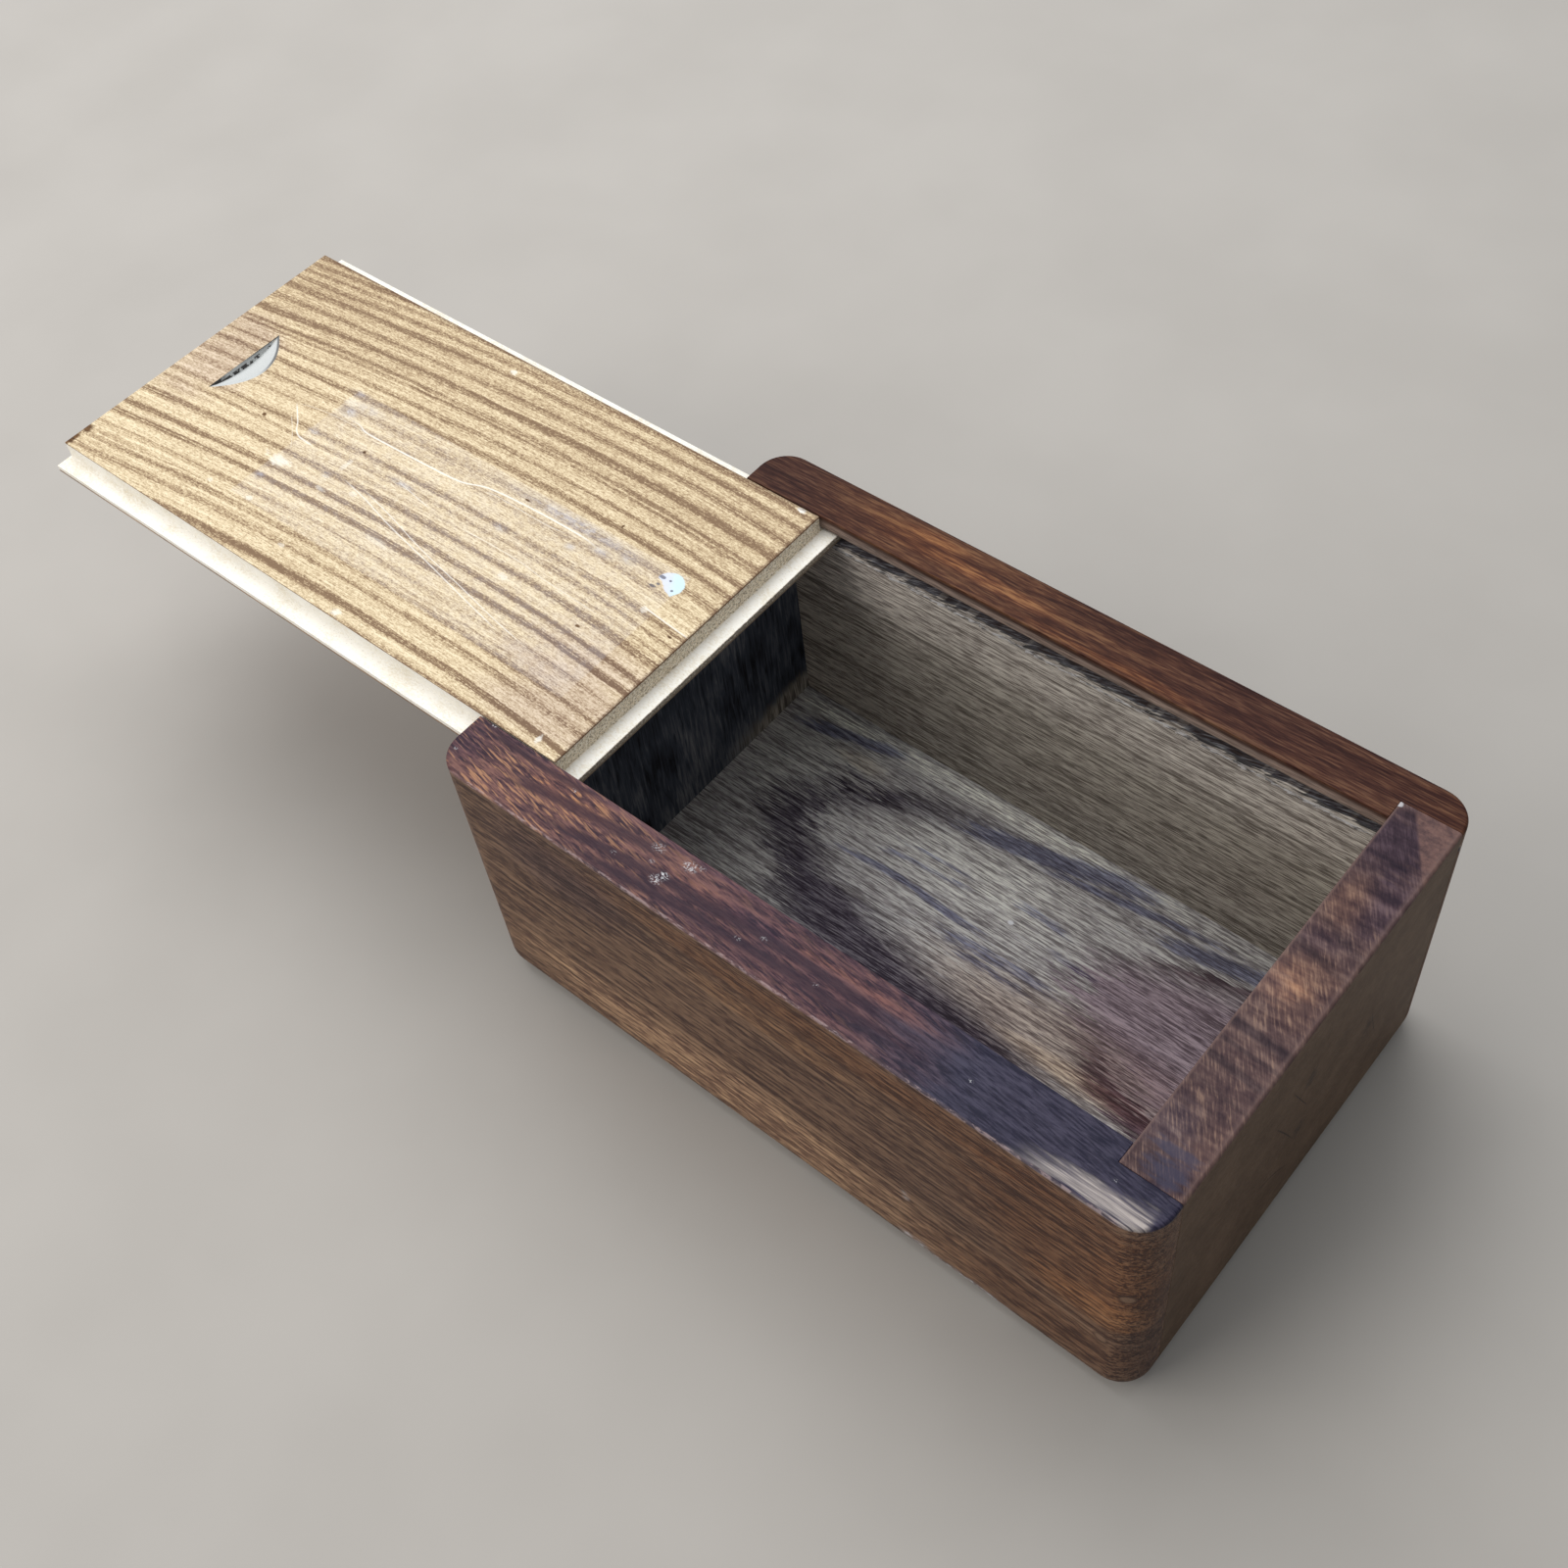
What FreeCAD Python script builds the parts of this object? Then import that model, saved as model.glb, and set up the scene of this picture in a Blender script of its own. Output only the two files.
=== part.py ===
import FreeCAD, Part
import os
import re
import Sketcher

# Wooden box with a sliding lid, in millimetres.
# X runs along the box: the closed end is at +X and the lid slides out towards -X.
# Y runs from the near wall to the far wall, Z is up, and the origin is the centre of the base.
SIZES = {
    "box_length": 190.0,
    "box_width": 122.0,
    "box_height": 81.0,
    "near_wall": 15.5,
    "far_wall": 13.3,
    "closed_wall": 14.2,
    "open_wall": 12.6,
    # Depth of every housing, rabbet and groove cut into the inner faces of the walls.
    "housing_depth": 5.0,
    "floor_thickness": 9.5,
    "corner_radius": 8.0,
    "bottom_radius": 6.5,
    "edge_radius": 0.8,
    "lid_thickness": 6.5,
    "veneer": 0.5,
    # Depth of the rebate round the lid, from its face down to the tongue.
    "rebate_depth": 4.6,
    # How far the shut lid stands out over the open end, and how far it is pulled out here.
    "lid_overhang": 5.0,
    "lid_pull": 152.0,
    "side_clearance": 0.4,
    "groove_clearance": 0.6,
    "tongue_clearance": 0.3,
    "end_clearance": 0.2,
    # Finger notch: straight wall, sloping floor and curved inner edge, left by a tilted disc cutter.
    "notch_chord": 25.4,
    "notch_reach": 8.4,
    "notch_depth": 2.0,
    "notch_inset": 15.5,
    "notch_offset": 2.9,
}
TINY = 1e-4

doc = FreeCAD.newDocument("sliding_lid_box")
sheet = doc.addObject("Spreadsheet::Sheet", "Sizes")
for row, (alias, value) in enumerate(SIZES.items(), start=1):
    sheet.set(f"A{row}", alias)
    sheet.set(f"B{row}", str(value))
    sheet.setAlias(f"B{row}", alias)
doc.recompute()

# Lengths that several pieces share, as expressions on the sheet.
INNER_WIDTH = "(box_width - near_wall - far_wall)"
END_BOARD = f"({INNER_WIDTH} + 2 * housing_depth)"
LID_REST = "(box_height - lid_thickness)"
GROOVE_HEIGHT = "(lid_thickness - rebate_depth + groove_clearance)"
TONGUE = "(housing_depth - tongue_clearance)"
FIELD_LENGTH = "(box_length - closed_wall - end_clearance + lid_overhang)"
FIELD_WIDTH = f"({INNER_WIDTH} - 2 * side_clearance)"
LID_LENGTH = f"({FIELD_LENGTH} + {TONGUE})"
LID_WIDTH = f"({FIELD_WIDTH} + 2 * {TONGUE})"
CORNER = "min(corner_radius; near_wall - housing_depth; far_wall - housing_depth)"
FOOT = f"min(bottom_radius; {CORNER} - edge_radius; open_wall - housing_depth; closed_wall - housing_depth)"
LID_X = "(-box_length / 2 - lid_overhang - lid_pull)"
LID_Y = f"(-box_width / 2 + near_wall + side_clearance - {TONGUE})"


def linked(text):
    """An expression with each size named by its cell of the sheet."""
    return re.sub(r"[a-z_]+", lambda m: f"Sizes.{m[0]}" if m[0] in SIZES else m[0], text)


def number(text):
    """The present value of an expression."""
    return float(sheet.evalExpression(linked(text)))


def new_body(label, base, turned=False):
    """An empty body at a place given by three expressions, turned half round Z if asked."""
    body = doc.addObject("PartDesign::Body", label)
    body.Label = label
    half_turn = FreeCAD.Rotation(FreeCAD.Vector(0, 0, 1), 180 if turned else 0)
    body.Placement = FreeCAD.Placement(FreeCAD.Vector(), half_turn)
    for axis, text in zip("xyz", base):
        body.setExpression(f"Placement.Base.{axis}", linked(text))
    return body


def outline(body, name, plane, points, offset="0"):
    """A closed sketch through points on a plane of the body, each coordinate an expression."""
    sketch = body.newObject("Sketcher::SketchObject", name)
    support = next(item for item in body.Origin.OriginFeatures if item.Role == plane)
    sketch.AttachmentSupport = [(support, "")]
    sketch.MapMode = "FlatFace"
    sketch.setExpression("AttachmentOffset.Base.z", linked(offset))
    corners = [FreeCAD.Vector(number(x), number(y), 0) for x, y in points]
    count = len(corners)
    for i in range(count):
        sketch.addGeometry(Part.LineSegment(corners[i], corners[(i + 1) % count]))
    for i in range(count):
        sketch.addConstraint(Sketcher.Constraint("Coincident", i, 2, (i + 1) % count, 1))
    for i, point in enumerate(points):
        for kind, axis, text in zip(("DistanceX", "DistanceY"), (-2, -1), point):
            if text == "0":
                sketch.addConstraint(Sketcher.Constraint("PointOnObject", i, 1, axis))
                continue
            index = sketch.addConstraint(Sketcher.Constraint(kind, -1, 1, i, 1, number(text)))
            sketch.setExpression(f"Constraints[{index}]", linked(text))
    return sketch


def rectangle(x_low, x_high, y_low, y_high):
    """The four corners of a rectangle, as expressions."""
    return [(x_low, y_low), (x_high, y_low), (x_high, y_high), (x_low, y_high)]


def pad(body, name, sketch, length):
    """Material raised from a sketch."""
    feature = body.newObject("PartDesign::Pad", name)
    feature.Profile = sketch
    feature.setExpression("Length", linked(length))
    doc.recompute()
    return feature


def must_cut(body, feature, volume_before):
    """Stops the build when a cut has taken nothing away."""
    doc.recompute()
    if body.Shape.Volume > volume_before - TINY:
        raise RuntimeError(f"{body.Label}: {feature.Name} cuts nothing")


def pocket(body, name, sketch, depth=None, upward=False):
    """A cut from a sketch, right through where no depth is given."""
    before = body.Shape.Volume
    feature = body.newObject("PartDesign::Pocket", name)
    feature.Profile = sketch
    feature.Reversed = upward
    if depth is None:
        feature.Type = "ThroughAll"
    else:
        feature.setExpression("Length", linked(depth))
    must_cut(body, feature, before)


def fillet(body, name, radius, chosen):
    """Rounds the edges of the body that the test chooses."""
    base = body.Tip
    names = [f"Edge{i}" for i, edge in enumerate(base.Shape.Edges, start=1) if chosen(edge)]
    feature = body.newObject("PartDesign::Fillet", name)
    feature.Base = (base, names)
    feature.setExpression("Radius", linked(radius))
    doc.recompute()


def lies_at(edge, x=None, y=None, z=None):
    """Whether an edge lies wholly at the places given along the axes of its body."""
    box = edge.BoundBox
    spans = [(x, box.XMin, box.XMax), (y, box.YMin, box.YMax), (z, box.ZMin, box.ZMax)]
    return all(
        abs(first - place) < TINY and abs(last - place) < TINY
        for place, first, last in spans
        if place is not None
    )


def side_wall(label, wall, base, turned):
    """A long wall: x from one end, y inwards from the outer face, z up."""
    body = new_body(label, base, turned)
    board = outline(body, f"{label}_plan", "XY_Plane", rectangle("0", "box_length", "0", wall))
    pad(body, f"{label}_board", board, "box_height")

    inner = number(wall)
    height = number("box_height")
    fillet(body, f"{label}_corners", CORNER, lambda e: lies_at(e, y=0) and e.BoundBox.ZLength > TINY)
    fillet(body, f"{label}_foot", FOOT, lambda e: lies_at(e, z=0) and not lies_at(e, y=inner))
    fillet(body, f"{label}_rim", "edge_radius", lambda e: lies_at(e, z=height) and not lies_at(e, y=inner))

    shoulder = f"{wall} - housing_depth"
    open_end = ("box_length - open_wall", "box_length") if turned else ("0", "open_wall")
    closed_end = ("0", "closed_wall") if turned else ("box_length - closed_wall", "box_length")
    housing = outline(body, f"{label}_closed_plan", "XY_Plane", rectangle(*closed_end, shoulder, wall))
    pocket(body, f"{label}_closed_housing", housing, upward=True)
    housing = outline(body, f"{label}_open_plan", "XY_Plane", rectangle(*open_end, shoulder, wall))
    pocket(body, f"{label}_open_housing", housing, LID_REST, upward=True)
    lid_section = rectangle(shoulder, wall, LID_REST, f"{LID_REST} + {GROOVE_HEIGHT}")
    groove = outline(body, f"{label}_groove_section", "YZ_Plane", lid_section)
    pocket(body, f"{label}_lid_groove", groove, upward=True)
    floor_section = rectangle(shoulder, wall, "0", "floor_thickness")
    rabbet = outline(body, f"{label}_rabbet_section", "YZ_Plane", floor_section)
    pocket(body, f"{label}_floor_rabbet", rabbet, upward=True)
    return body


def end_wall(label, wall, height, base, turned, has_groove):
    """An end board: x inwards from the outer face, y along its length, z up."""
    body = new_body(label, base, turned)
    board = outline(body, f"{label}_plan", "XY_Plane", rectangle("0", wall, "0", END_BOARD))
    pad(body, f"{label}_board", board, height)
    fillet(body, f"{label}_foot", FOOT, lambda e: lies_at(e, x=0, z=0))
    shoulder = f"{wall} - housing_depth"
    floor_section = rectangle(shoulder, wall, "0", "floor_thickness")
    rabbet = outline(body, f"{label}_rabbet_section", "XZ_Plane", floor_section)
    pocket(body, f"{label}_floor_rabbet", rabbet)
    if has_groove:
        top = number(height)
        fillet(body, f"{label}_rim", "edge_radius", lambda e: lies_at(e, x=0, z=top))
        lid_section = rectangle(shoulder, wall, LID_REST, f"{LID_REST} + {GROOVE_HEIGHT}")
        groove = outline(body, f"{label}_groove_section", "XZ_Plane", lid_section)
        pocket(body, f"{label}_lid_groove", groove)
    return body


def bottom_board():
    """The floor, let into the rabbets of all four walls and flush with their feet."""
    length = "(box_length - open_wall - closed_wall + 2 * housing_depth)"
    low_x = "-box_length / 2 + open_wall - housing_depth"
    low_y = "-box_width / 2 + near_wall - housing_depth"
    body = new_body("bottom_board", (low_x, low_y, "0"))
    plan = outline(body, "bottom_board_plan", "XY_Plane", rectangle("0", length, "0", END_BOARD))
    pad(body, "bottom_board_blank", plan, "floor_thickness")
    return body


def finger_notch(body):
    """Sinks a tilted disc cutter into the lid, flat side towards the outer end."""
    sine = "(notch_depth / notch_reach)"
    cosine = f"sqrt(1 - {sine} ^ 2)"
    disc = "((notch_chord ^ 2 / 4 + notch_depth ^ 2) / (2 * notch_depth))"
    rim_x = f"(notch_inset + {sine} * notch_depth)"
    rim_z = f"(lid_thickness - {cosine} * notch_depth)"
    hub_x = f"({rim_x} - {sine} * {disc})"
    hub_z = f"({rim_z} + {cosine} * {disc})"
    step_x = f"{cosine} * 2 * notch_reach"
    step_z = f"{sine} * 2 * notch_reach"
    points = [
        (hub_x, hub_z),
        (rim_x, rim_z),
        (f"{rim_x} + {step_x}", f"{rim_z} + {step_z}"),
        (f"{hub_x} + {step_x}", f"{hub_z} + {step_z}"),
    ]
    name = f"{body.Label}_notch"
    middle = f"-({LID_WIDTH} / 2 + notch_offset)"
    sketch = outline(body, f"{name}_section", "XZ_Plane", points, middle)
    closing = sketch.Geometry[3]
    hub = sketch.addGeometry(Part.LineSegment(closing.StartPoint, closing.EndPoint), True)
    sketch.addConstraint(Sketcher.Constraint("Coincident", hub, 1, 3, 1))
    sketch.addConstraint(Sketcher.Constraint("Coincident", hub, 2, 3, 2))
    doc.recompute()
    before = body.Shape.Volume
    cut = body.newObject("PartDesign::Groove", name)
    cut.Profile = sketch
    cut.ReferenceAxis = (sketch, ["Axis0"])
    cut.Angle = 360
    must_cut(body, cut, before)


def lid_layer(label, plan, low, thickness):
    """A layer of the lid: x from the outer end, y from the near tongue's edge, z from the underside."""
    body = new_body(label, (LID_X, LID_Y, LID_REST))
    sketch = outline(body, f"{label}_plan", "XY_Plane", plan, low)
    pad(body, f"{label}_blank", sketch, thickness)
    return body


def lid_panel():
    """The lid's core, rebated on three sides so that a tongue is left."""
    whole = rectangle("0", LID_LENGTH, "0", LID_WIDTH)
    body = lid_layer("lid_panel", whole, "veneer", "lid_thickness - 2 * veneer")
    far_side = f"({LID_WIDTH} - {TONGUE})"
    strip = [
        ("0", "0"),
        (LID_LENGTH, "0"),
        (LID_LENGTH, LID_WIDTH),
        ("0", LID_WIDTH),
        ("0", far_side),
        (FIELD_LENGTH, far_side),
        (FIELD_LENGTH, TONGUE),
        ("0", TONGUE),
    ]
    rebate = outline(body, "lid_panel_rebate_plan", "XY_Plane", strip, "lid_thickness - veneer")
    pocket(body, "lid_panel_rebate", rebate, "rebate_depth - veneer")
    finger_notch(body)
    return body


def lid_face_veneer():
    """The sheet on the raised field of the lid, cut through by the finger notch."""
    field = rectangle("0", FIELD_LENGTH, TONGUE, f"{TONGUE} + {FIELD_WIDTH}")
    body = lid_layer("lid_face_veneer", field, "lid_thickness - veneer", "veneer")
    finger_notch(body)
    return body


def lid_back_veneer():
    """The sheet under the whole lid, tongues included."""
    return lid_layer("lid_back_veneer", rectangle("0", LID_LENGTH, "0", LID_WIDTH), "0", "veneer")


near_base = ("-box_length / 2", "-box_width / 2", "0")
far_base = ("box_length / 2", "box_width / 2", "0")
open_base = ("-box_length / 2", "-box_width / 2 + near_wall - housing_depth", "0")
closed_base = ("box_length / 2", "box_width / 2 - far_wall + housing_depth", "0")
pieces = [
    side_wall("near_side_wall", "near_wall", near_base, turned=False),
    side_wall("far_side_wall", "far_wall", far_base, turned=True),
    end_wall("open_end_wall", "open_wall", LID_REST, open_base, turned=False, has_groove=False),
    end_wall("closed_end_wall", "closed_wall", "box_height", closed_base, turned=True, has_groove=True),
    bottom_board(),
    lid_panel(),
    lid_face_veneer(),
    lid_back_veneer(),
]
doc.recompute()

failed = [item.Name for item in doc.Objects if {"Invalid", "Error"} & set(item.State)]
if failed:
    raise RuntimeError(f"failed objects: {failed}")
for piece in pieces:
    if piece.Shape.isNull() or not piece.Shape.isValid() or len(piece.Shape.Solids) != 1:
        raise RuntimeError(f"bad shape: {piece.Label}")

os.makedirs("parts", exist_ok=True)
for piece in pieces:
    piece.Shape.exportStep(f"parts/{piece.Label}.step")
    box = piece.Shape.optimalBoundingBox()
    print(
        f"{piece.Label:18s} volume {piece.Shape.Volume:10.1f}"
        f"  x {box.XMin:.1f} to {box.XMax:.1f}"
        f"  y {box.YMin:.1f} to {box.YMax:.1f}"
        f"  z {box.ZMin:.1f} to {box.ZMax:.1f}"
    )
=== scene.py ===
import math

import bmesh
import bpy
from mathutils import Matrix, Vector


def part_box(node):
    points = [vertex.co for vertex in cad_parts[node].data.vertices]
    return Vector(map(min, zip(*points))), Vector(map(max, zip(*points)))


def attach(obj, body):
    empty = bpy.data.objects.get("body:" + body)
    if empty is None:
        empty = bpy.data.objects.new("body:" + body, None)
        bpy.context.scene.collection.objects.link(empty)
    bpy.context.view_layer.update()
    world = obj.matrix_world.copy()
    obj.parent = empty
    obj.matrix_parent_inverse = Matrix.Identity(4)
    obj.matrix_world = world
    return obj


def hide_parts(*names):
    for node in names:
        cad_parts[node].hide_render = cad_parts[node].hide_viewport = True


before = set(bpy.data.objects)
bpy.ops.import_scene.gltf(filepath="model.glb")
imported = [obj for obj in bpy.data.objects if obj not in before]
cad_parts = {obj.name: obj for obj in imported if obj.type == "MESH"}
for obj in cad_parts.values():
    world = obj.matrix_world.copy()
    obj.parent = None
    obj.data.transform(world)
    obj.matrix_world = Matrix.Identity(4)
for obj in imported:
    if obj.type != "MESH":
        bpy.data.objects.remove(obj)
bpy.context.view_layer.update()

# Metres in the scene, millimetres in the finishes: X along the box, Y from near to far, Z up.
MM = 0.001


def corners_mm(node):
    """Lowest and highest corner of a CAD piece, in millimetres."""
    low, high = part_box(node)
    return low / MM, high / MM


NEAR_LOW, NEAR_HIGH = corners_mm("near_side_wall")
FAR_LOW = corners_mm("far_side_wall")[0]
OPEN_HIGH = corners_mm("open_end_wall")[1]
CLOSED_LOW, CLOSED_HIGH = corners_mm("closed_end_wall")
FLOOR_TOP = corners_mm("bottom_board")[1].z
TONGUE_LOW, TONGUE_HIGH = corners_mm("lid_panel")
FIELD_LOW, FIELD_HIGH = corners_mm("lid_face_veneer")
BACK_LOW, BACK_HIGH = corners_mm("lid_back_veneer")

# Heights of the rim and of the lid's groove, and how deep the groove's finish goes.
RIM = NEAR_HIGH.z
GROOVE_LOW = BACK_LOW.z
GROOVE_HIGH = GROOVE_LOW + 2.5
GROOVE_REACH = 6

# Cell length along an axis on which a noise does not vary.
STILL = 1000


def tint(red, green, blue):
    """Screen values from 0 to 255 as the linear colour that shaders use."""
    shares = [value / 255 for value in (red, green, blue)]
    linear = [s / 12.92 if s <= 0.04045 else ((s + 0.055) / 1.055) ** 2.4 for s in shares]
    return (*linear, 1)


def shades(*colours):
    """The dark, middle and light shade of a wood."""
    return [tint(*colour) for colour in colours]


class Value:
    """A socket in a node tree, so that arithmetic on it adds Math nodes."""

    def __init__(self, tree, socket):
        self.tree = tree
        self.socket = socket

    def math(self, operation, *terms):
        """A Math node on these terms."""
        return self.tree.node("ShaderNodeMath", {"operation": operation}, dict(enumerate(terms)))

    def __add__(self, other):
        return self.math("ADD", self, other)

    def __sub__(self, other):
        return self.math("SUBTRACT", self, other)

    def __rsub__(self, other):
        return self.math("SUBTRACT", other, self)

    def __mul__(self, other):
        return self.math("MULTIPLY", self, other)

    def __truediv__(self, other):
        return self.math("DIVIDE", self, other)

    def __abs__(self):
        return self.math("ABSOLUTE", self)

    __radd__ = __add__
    __rmul__ = __mul__

    def most(self, other):
        """The larger of two values."""
        return self.math("MAXIMUM", self, other)

    def step(self, low, high):
        """0 at low and 1 at high, whichever is the larger, smooth between and flat beyond."""
        limits = {"Value": self, "From Min": low, "From Max": high}
        return self.tree.node("ShaderNodeMapRange", {"interpolation_type": "SMOOTHSTEP"}, limits)


class Tree:
    """A node tree in which one method adds any node."""

    def __init__(self, tree):
        self.nodes = tree.nodes
        self.links = tree.links

    def node(self, kind, settings=None, inputs=None, output=0):
        """Adds a node: its settings first, then the values or links of its sockets."""
        made = self.nodes.new(kind)
        for name, value in (settings or {}).items():
            if name == "stops":
                self.set_stops(made.color_ramp, value)
            elif name == "points":
                self.set_points(made.mapping, value)
            else:
                setattr(made, name, value)
        for key, value in (inputs or {}).items():
            self.put(made.inputs[key], value)
        return Value(self, made.outputs[output])

    def put(self, socket, value):
        """Links a value to a socket, or sets the socket to a plain value."""
        if isinstance(value, Value):
            self.links.new(value.socket, socket)
        else:
            socket.default_value = value

    @staticmethod
    def set_stops(ramp, stops):
        """Gives a colour ramp its stops: (place, colour) each."""
        while len(ramp.elements) < len(stops):
            ramp.elements.new(1)
        for element, (place, colour) in zip(ramp.elements, stops):
            element.position = place
            element.color = colour

    @staticmethod
    def set_points(mapping, points):
        """Draws a curve through points that run from 0 to 1 both ways."""
        curve = mapping.curves[0]
        while len(curve.points) < len(points):
            curve.points.new(0.5, 0.5)
        for point, place in zip(curve.points, points):
            point.location = place
            point.handle_type = "AUTO_CLAMPED"
        mapping.update()


class Coat(Value):
    """A colour of a finish, built up in layers."""

    def lay(self, colour, factor, blend="MIX"):
        """Mixes a colour into the coat by a factor."""
        self.socket = self.tree.mix(self, colour, factor, blend).socket

    def gain(self, gain, factor):
        """Multiplies the coat by a gain where the factor is 1."""
        self.lay(gain, factor, "MULTIPLY")

    def patches(self, marks, ragged):
        """Makes the coat lighter or darker in patches: (centre, half size, gain, strength) each."""
        for centre, size, gain, strength in marks:
            patch = self.tree.spot(centre, size, 0.6, ragged * 0.6)
            self.gain(gain, patch * strength)


# Lengths and widths of the bands, lines, fibres and hairs of a board's grain.
GRAIN_LAYERS = ((160, 9), (60, 1.3), (10, 0.5), (3.5, 0.26))
# How far one step of a noise's seed moves it, in cells.
SEED_STEP = (3.71, 5.23, 7.19)
# Share of a line's half width that has its full strength.
SOLID = 0.25


class Finish(Tree):
    """A material on Object coordinates in millimetres."""

    def __init__(self, name, sheen):
        self.material = bpy.data.materials.new(name)
        self.material.use_nodes = True
        super().__init__(self.material.node_tree)
        self.shader = self.nodes["Principled BSDF"]
        self.shader.inputs["Specular IOR Level"].default_value = sheen
        metres = self.node("ShaderNodeTexCoord", output="Object")
        to_mm = {"Vector": metres, "Scale": 1 / MM}
        self.place = self.node("ShaderNodeVectorMath", {"operation": "SCALE"}, to_mm)
        parts = self.node("ShaderNodeSeparateXYZ", {}, {"Vector": self.place})
        self.x, self.y, self.z = (Value(self, out) for out in parts.socket.node.outputs)

    def noise(self, cell, seed, detail=2, roughness=0.5, warp=0, turn=None, place=None):
        """Noise with cells of two lengths on a level face or of three in space, turned by degrees."""
        scale = [1 / size for size in (*cell, STILL)[:3]]
        shift = [seed * step for step in SEED_STEP]
        place = place or self.place
        if turn:
            rotation = [math.radians(angle) for angle in turn]
            place = self.node("ShaderNodeMapping", {}, {"Vector": place, "Rotation": rotation})
        place = self.node("ShaderNodeMapping", {}, {"Vector": place, "Location": shift, "Scale": scale})
        look = {"Scale": 1, "Detail": detail, "Roughness": roughness, "Distortion": warp}
        return self.node("ShaderNodeTexNoise", {}, {"Vector": place, **look})

    def spot(self, centre, size, soft=0.5, ragged=None):
        """1 inside an ellipsoid of these half sizes and 0 outside, with a soft or ragged edge."""
        inputs = {"Vector": self.place, "Location": centre, "Scale": size}
        place = self.node("ShaderNodeMapping", {"vector_type": "TEXTURE"}, inputs)
        reach = self.node("ShaderNodeVectorMath", {"operation": "LENGTH"}, {"Vector": place}, "Value")
        if ragged is not None:
            reach = reach + ragged
        return reach.step(1 + soft, 1 - soft)

    def stroke(self, points, width, along, across, fade=0.05):
        """1 on a smooth line through points (along, across), 0 at this width beside it."""
        first, last = points[0][0], points[-1][0]
        low = min(point[1] for point in points)
        rise = max(max(point[1] for point in points) - low, 1)
        drawn = [((u - first) / (last - first), (v - low) / rise) for u, v in points]
        share = (along - first) / (last - first)
        line = self.node("ShaderNodeFloatCurve", {"points": drawn}, {"Value": share})
        beside = abs(across - (line * rise + low))
        inside = share.step(0, fade) * share.step(1, 1 - fade)
        return beside.step(width, width * SOLID) * inside

    def past(self, place, way):
        """Distance past a place on a level face, along a way."""
        return (self.x - place[0]) * way[0] + (self.y - place[1]) * way[1]

    def mix(self, first, second, factor, blend="MIX"):
        """Two colours mixed by a factor."""
        settings = {"data_type": "RGBA", "blend_type": blend, "clamp_factor": True}
        return self.node("ShaderNodeMix", settings, {0: factor, 6: first, 7: second}, 2)

    def tones(self, factor, *stops):
        """A coat read from a ramp of (place, colour) stops."""
        ramp = self.node("ShaderNodeValToRGB", {"stops": stops}, {"Fac": factor})
        return Coat(self, ramp.socket)

    def shade(self, tone, wood, spread=0.3):
        """A coat from a wood's dark, middle and light shade, for tones that far about 0.5."""
        return self.tones(tone, *zip((0.5 - spread, 0.5, 0.5 + spread), wood))

    def swing(self, middle, *parts):
        """A value swung about its middle by noises: (noise, weight) each."""
        for noise, weight in parts:
            middle = middle + (noise - 0.5) * weight
        return middle

    def grain(self, seed, along, weights):
        """Tone about 0.5 of a board with its grain along one axis."""
        tone = 0.5
        for layer, ((run, width), weight) in enumerate(zip(GRAIN_LAYERS, weights)):
            cell = [run if axis == along else width for axis in "xyz"]
            tone = self.swing(tone, (self.noise(cell, seed + layer, 2, 0.6, 0.2), weight))
        return tone

    def done(self, colour, roughness, height, relief):
        """Sends a colour, a roughness and a relief of so many millimetres to the shader."""
        inputs = {"Height": height, "Distance": relief * MM, "Strength": 1}
        normal = self.node("ShaderNodeBump", {}, inputs)
        self.put(self.shader.inputs["Base Color"], colour)
        self.put(self.shader.inputs["Roughness"], roughness)
        self.put(self.shader.inputs["Normal"], normal)
        return self.material


# Woods by their dark, middle and light shade, then single colours.
DARK, MIDDLE, LIGHT = range(3)
FACE = shades((64, 44, 38), (96, 72, 59), (130, 103, 83))
TOP = shades((52, 33, 42), (89, 60, 60), (120, 84, 76))
FAR_TOP = shades((58, 33, 26), (82, 51, 37), (110, 77, 54))
END_TOP = shades((52, 36, 41), (80, 60, 59), (114, 91, 84))
END_FACE = shades((75, 58, 45), (91, 72, 57), (105, 85, 69))
INSIDE = shades((98, 90, 82), (144, 136, 126), (178, 170, 157))
FLOOR = shades((108, 101, 100), (154, 148, 146), (196, 192, 186))
BACK = shades((96, 68, 48), (136, 100, 70), (176, 138, 98))
PALE_LINE = tint(140, 112, 90)
END_GRAIN = tint(76, 56, 47)
FLECK = tint(170, 124, 92)
# Dark and light blue-grey of a painted reflection of a bluish sky on the tops.
SKY_REFLECTION_DARK = tint(26, 25, 44)
SKY_REFLECTION_LIGHT = tint(60, 58, 76)
SAPWOOD = tint(174, 163, 157)
CHALK = tint(214, 212, 214)
EDGE_HIGHLIGHT = tint(178, 156, 154)
# Painted highlight on an eased edge.
CORNER_RED = tint(120, 90, 82)
# Painted sheen on the closed end's top.
PAINTED_SHEEN_STREAK = tint(146, 117, 98)
LIP_BROWN = tint(164, 138, 124)
LIP_DARK = tint(76, 60, 54)
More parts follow.
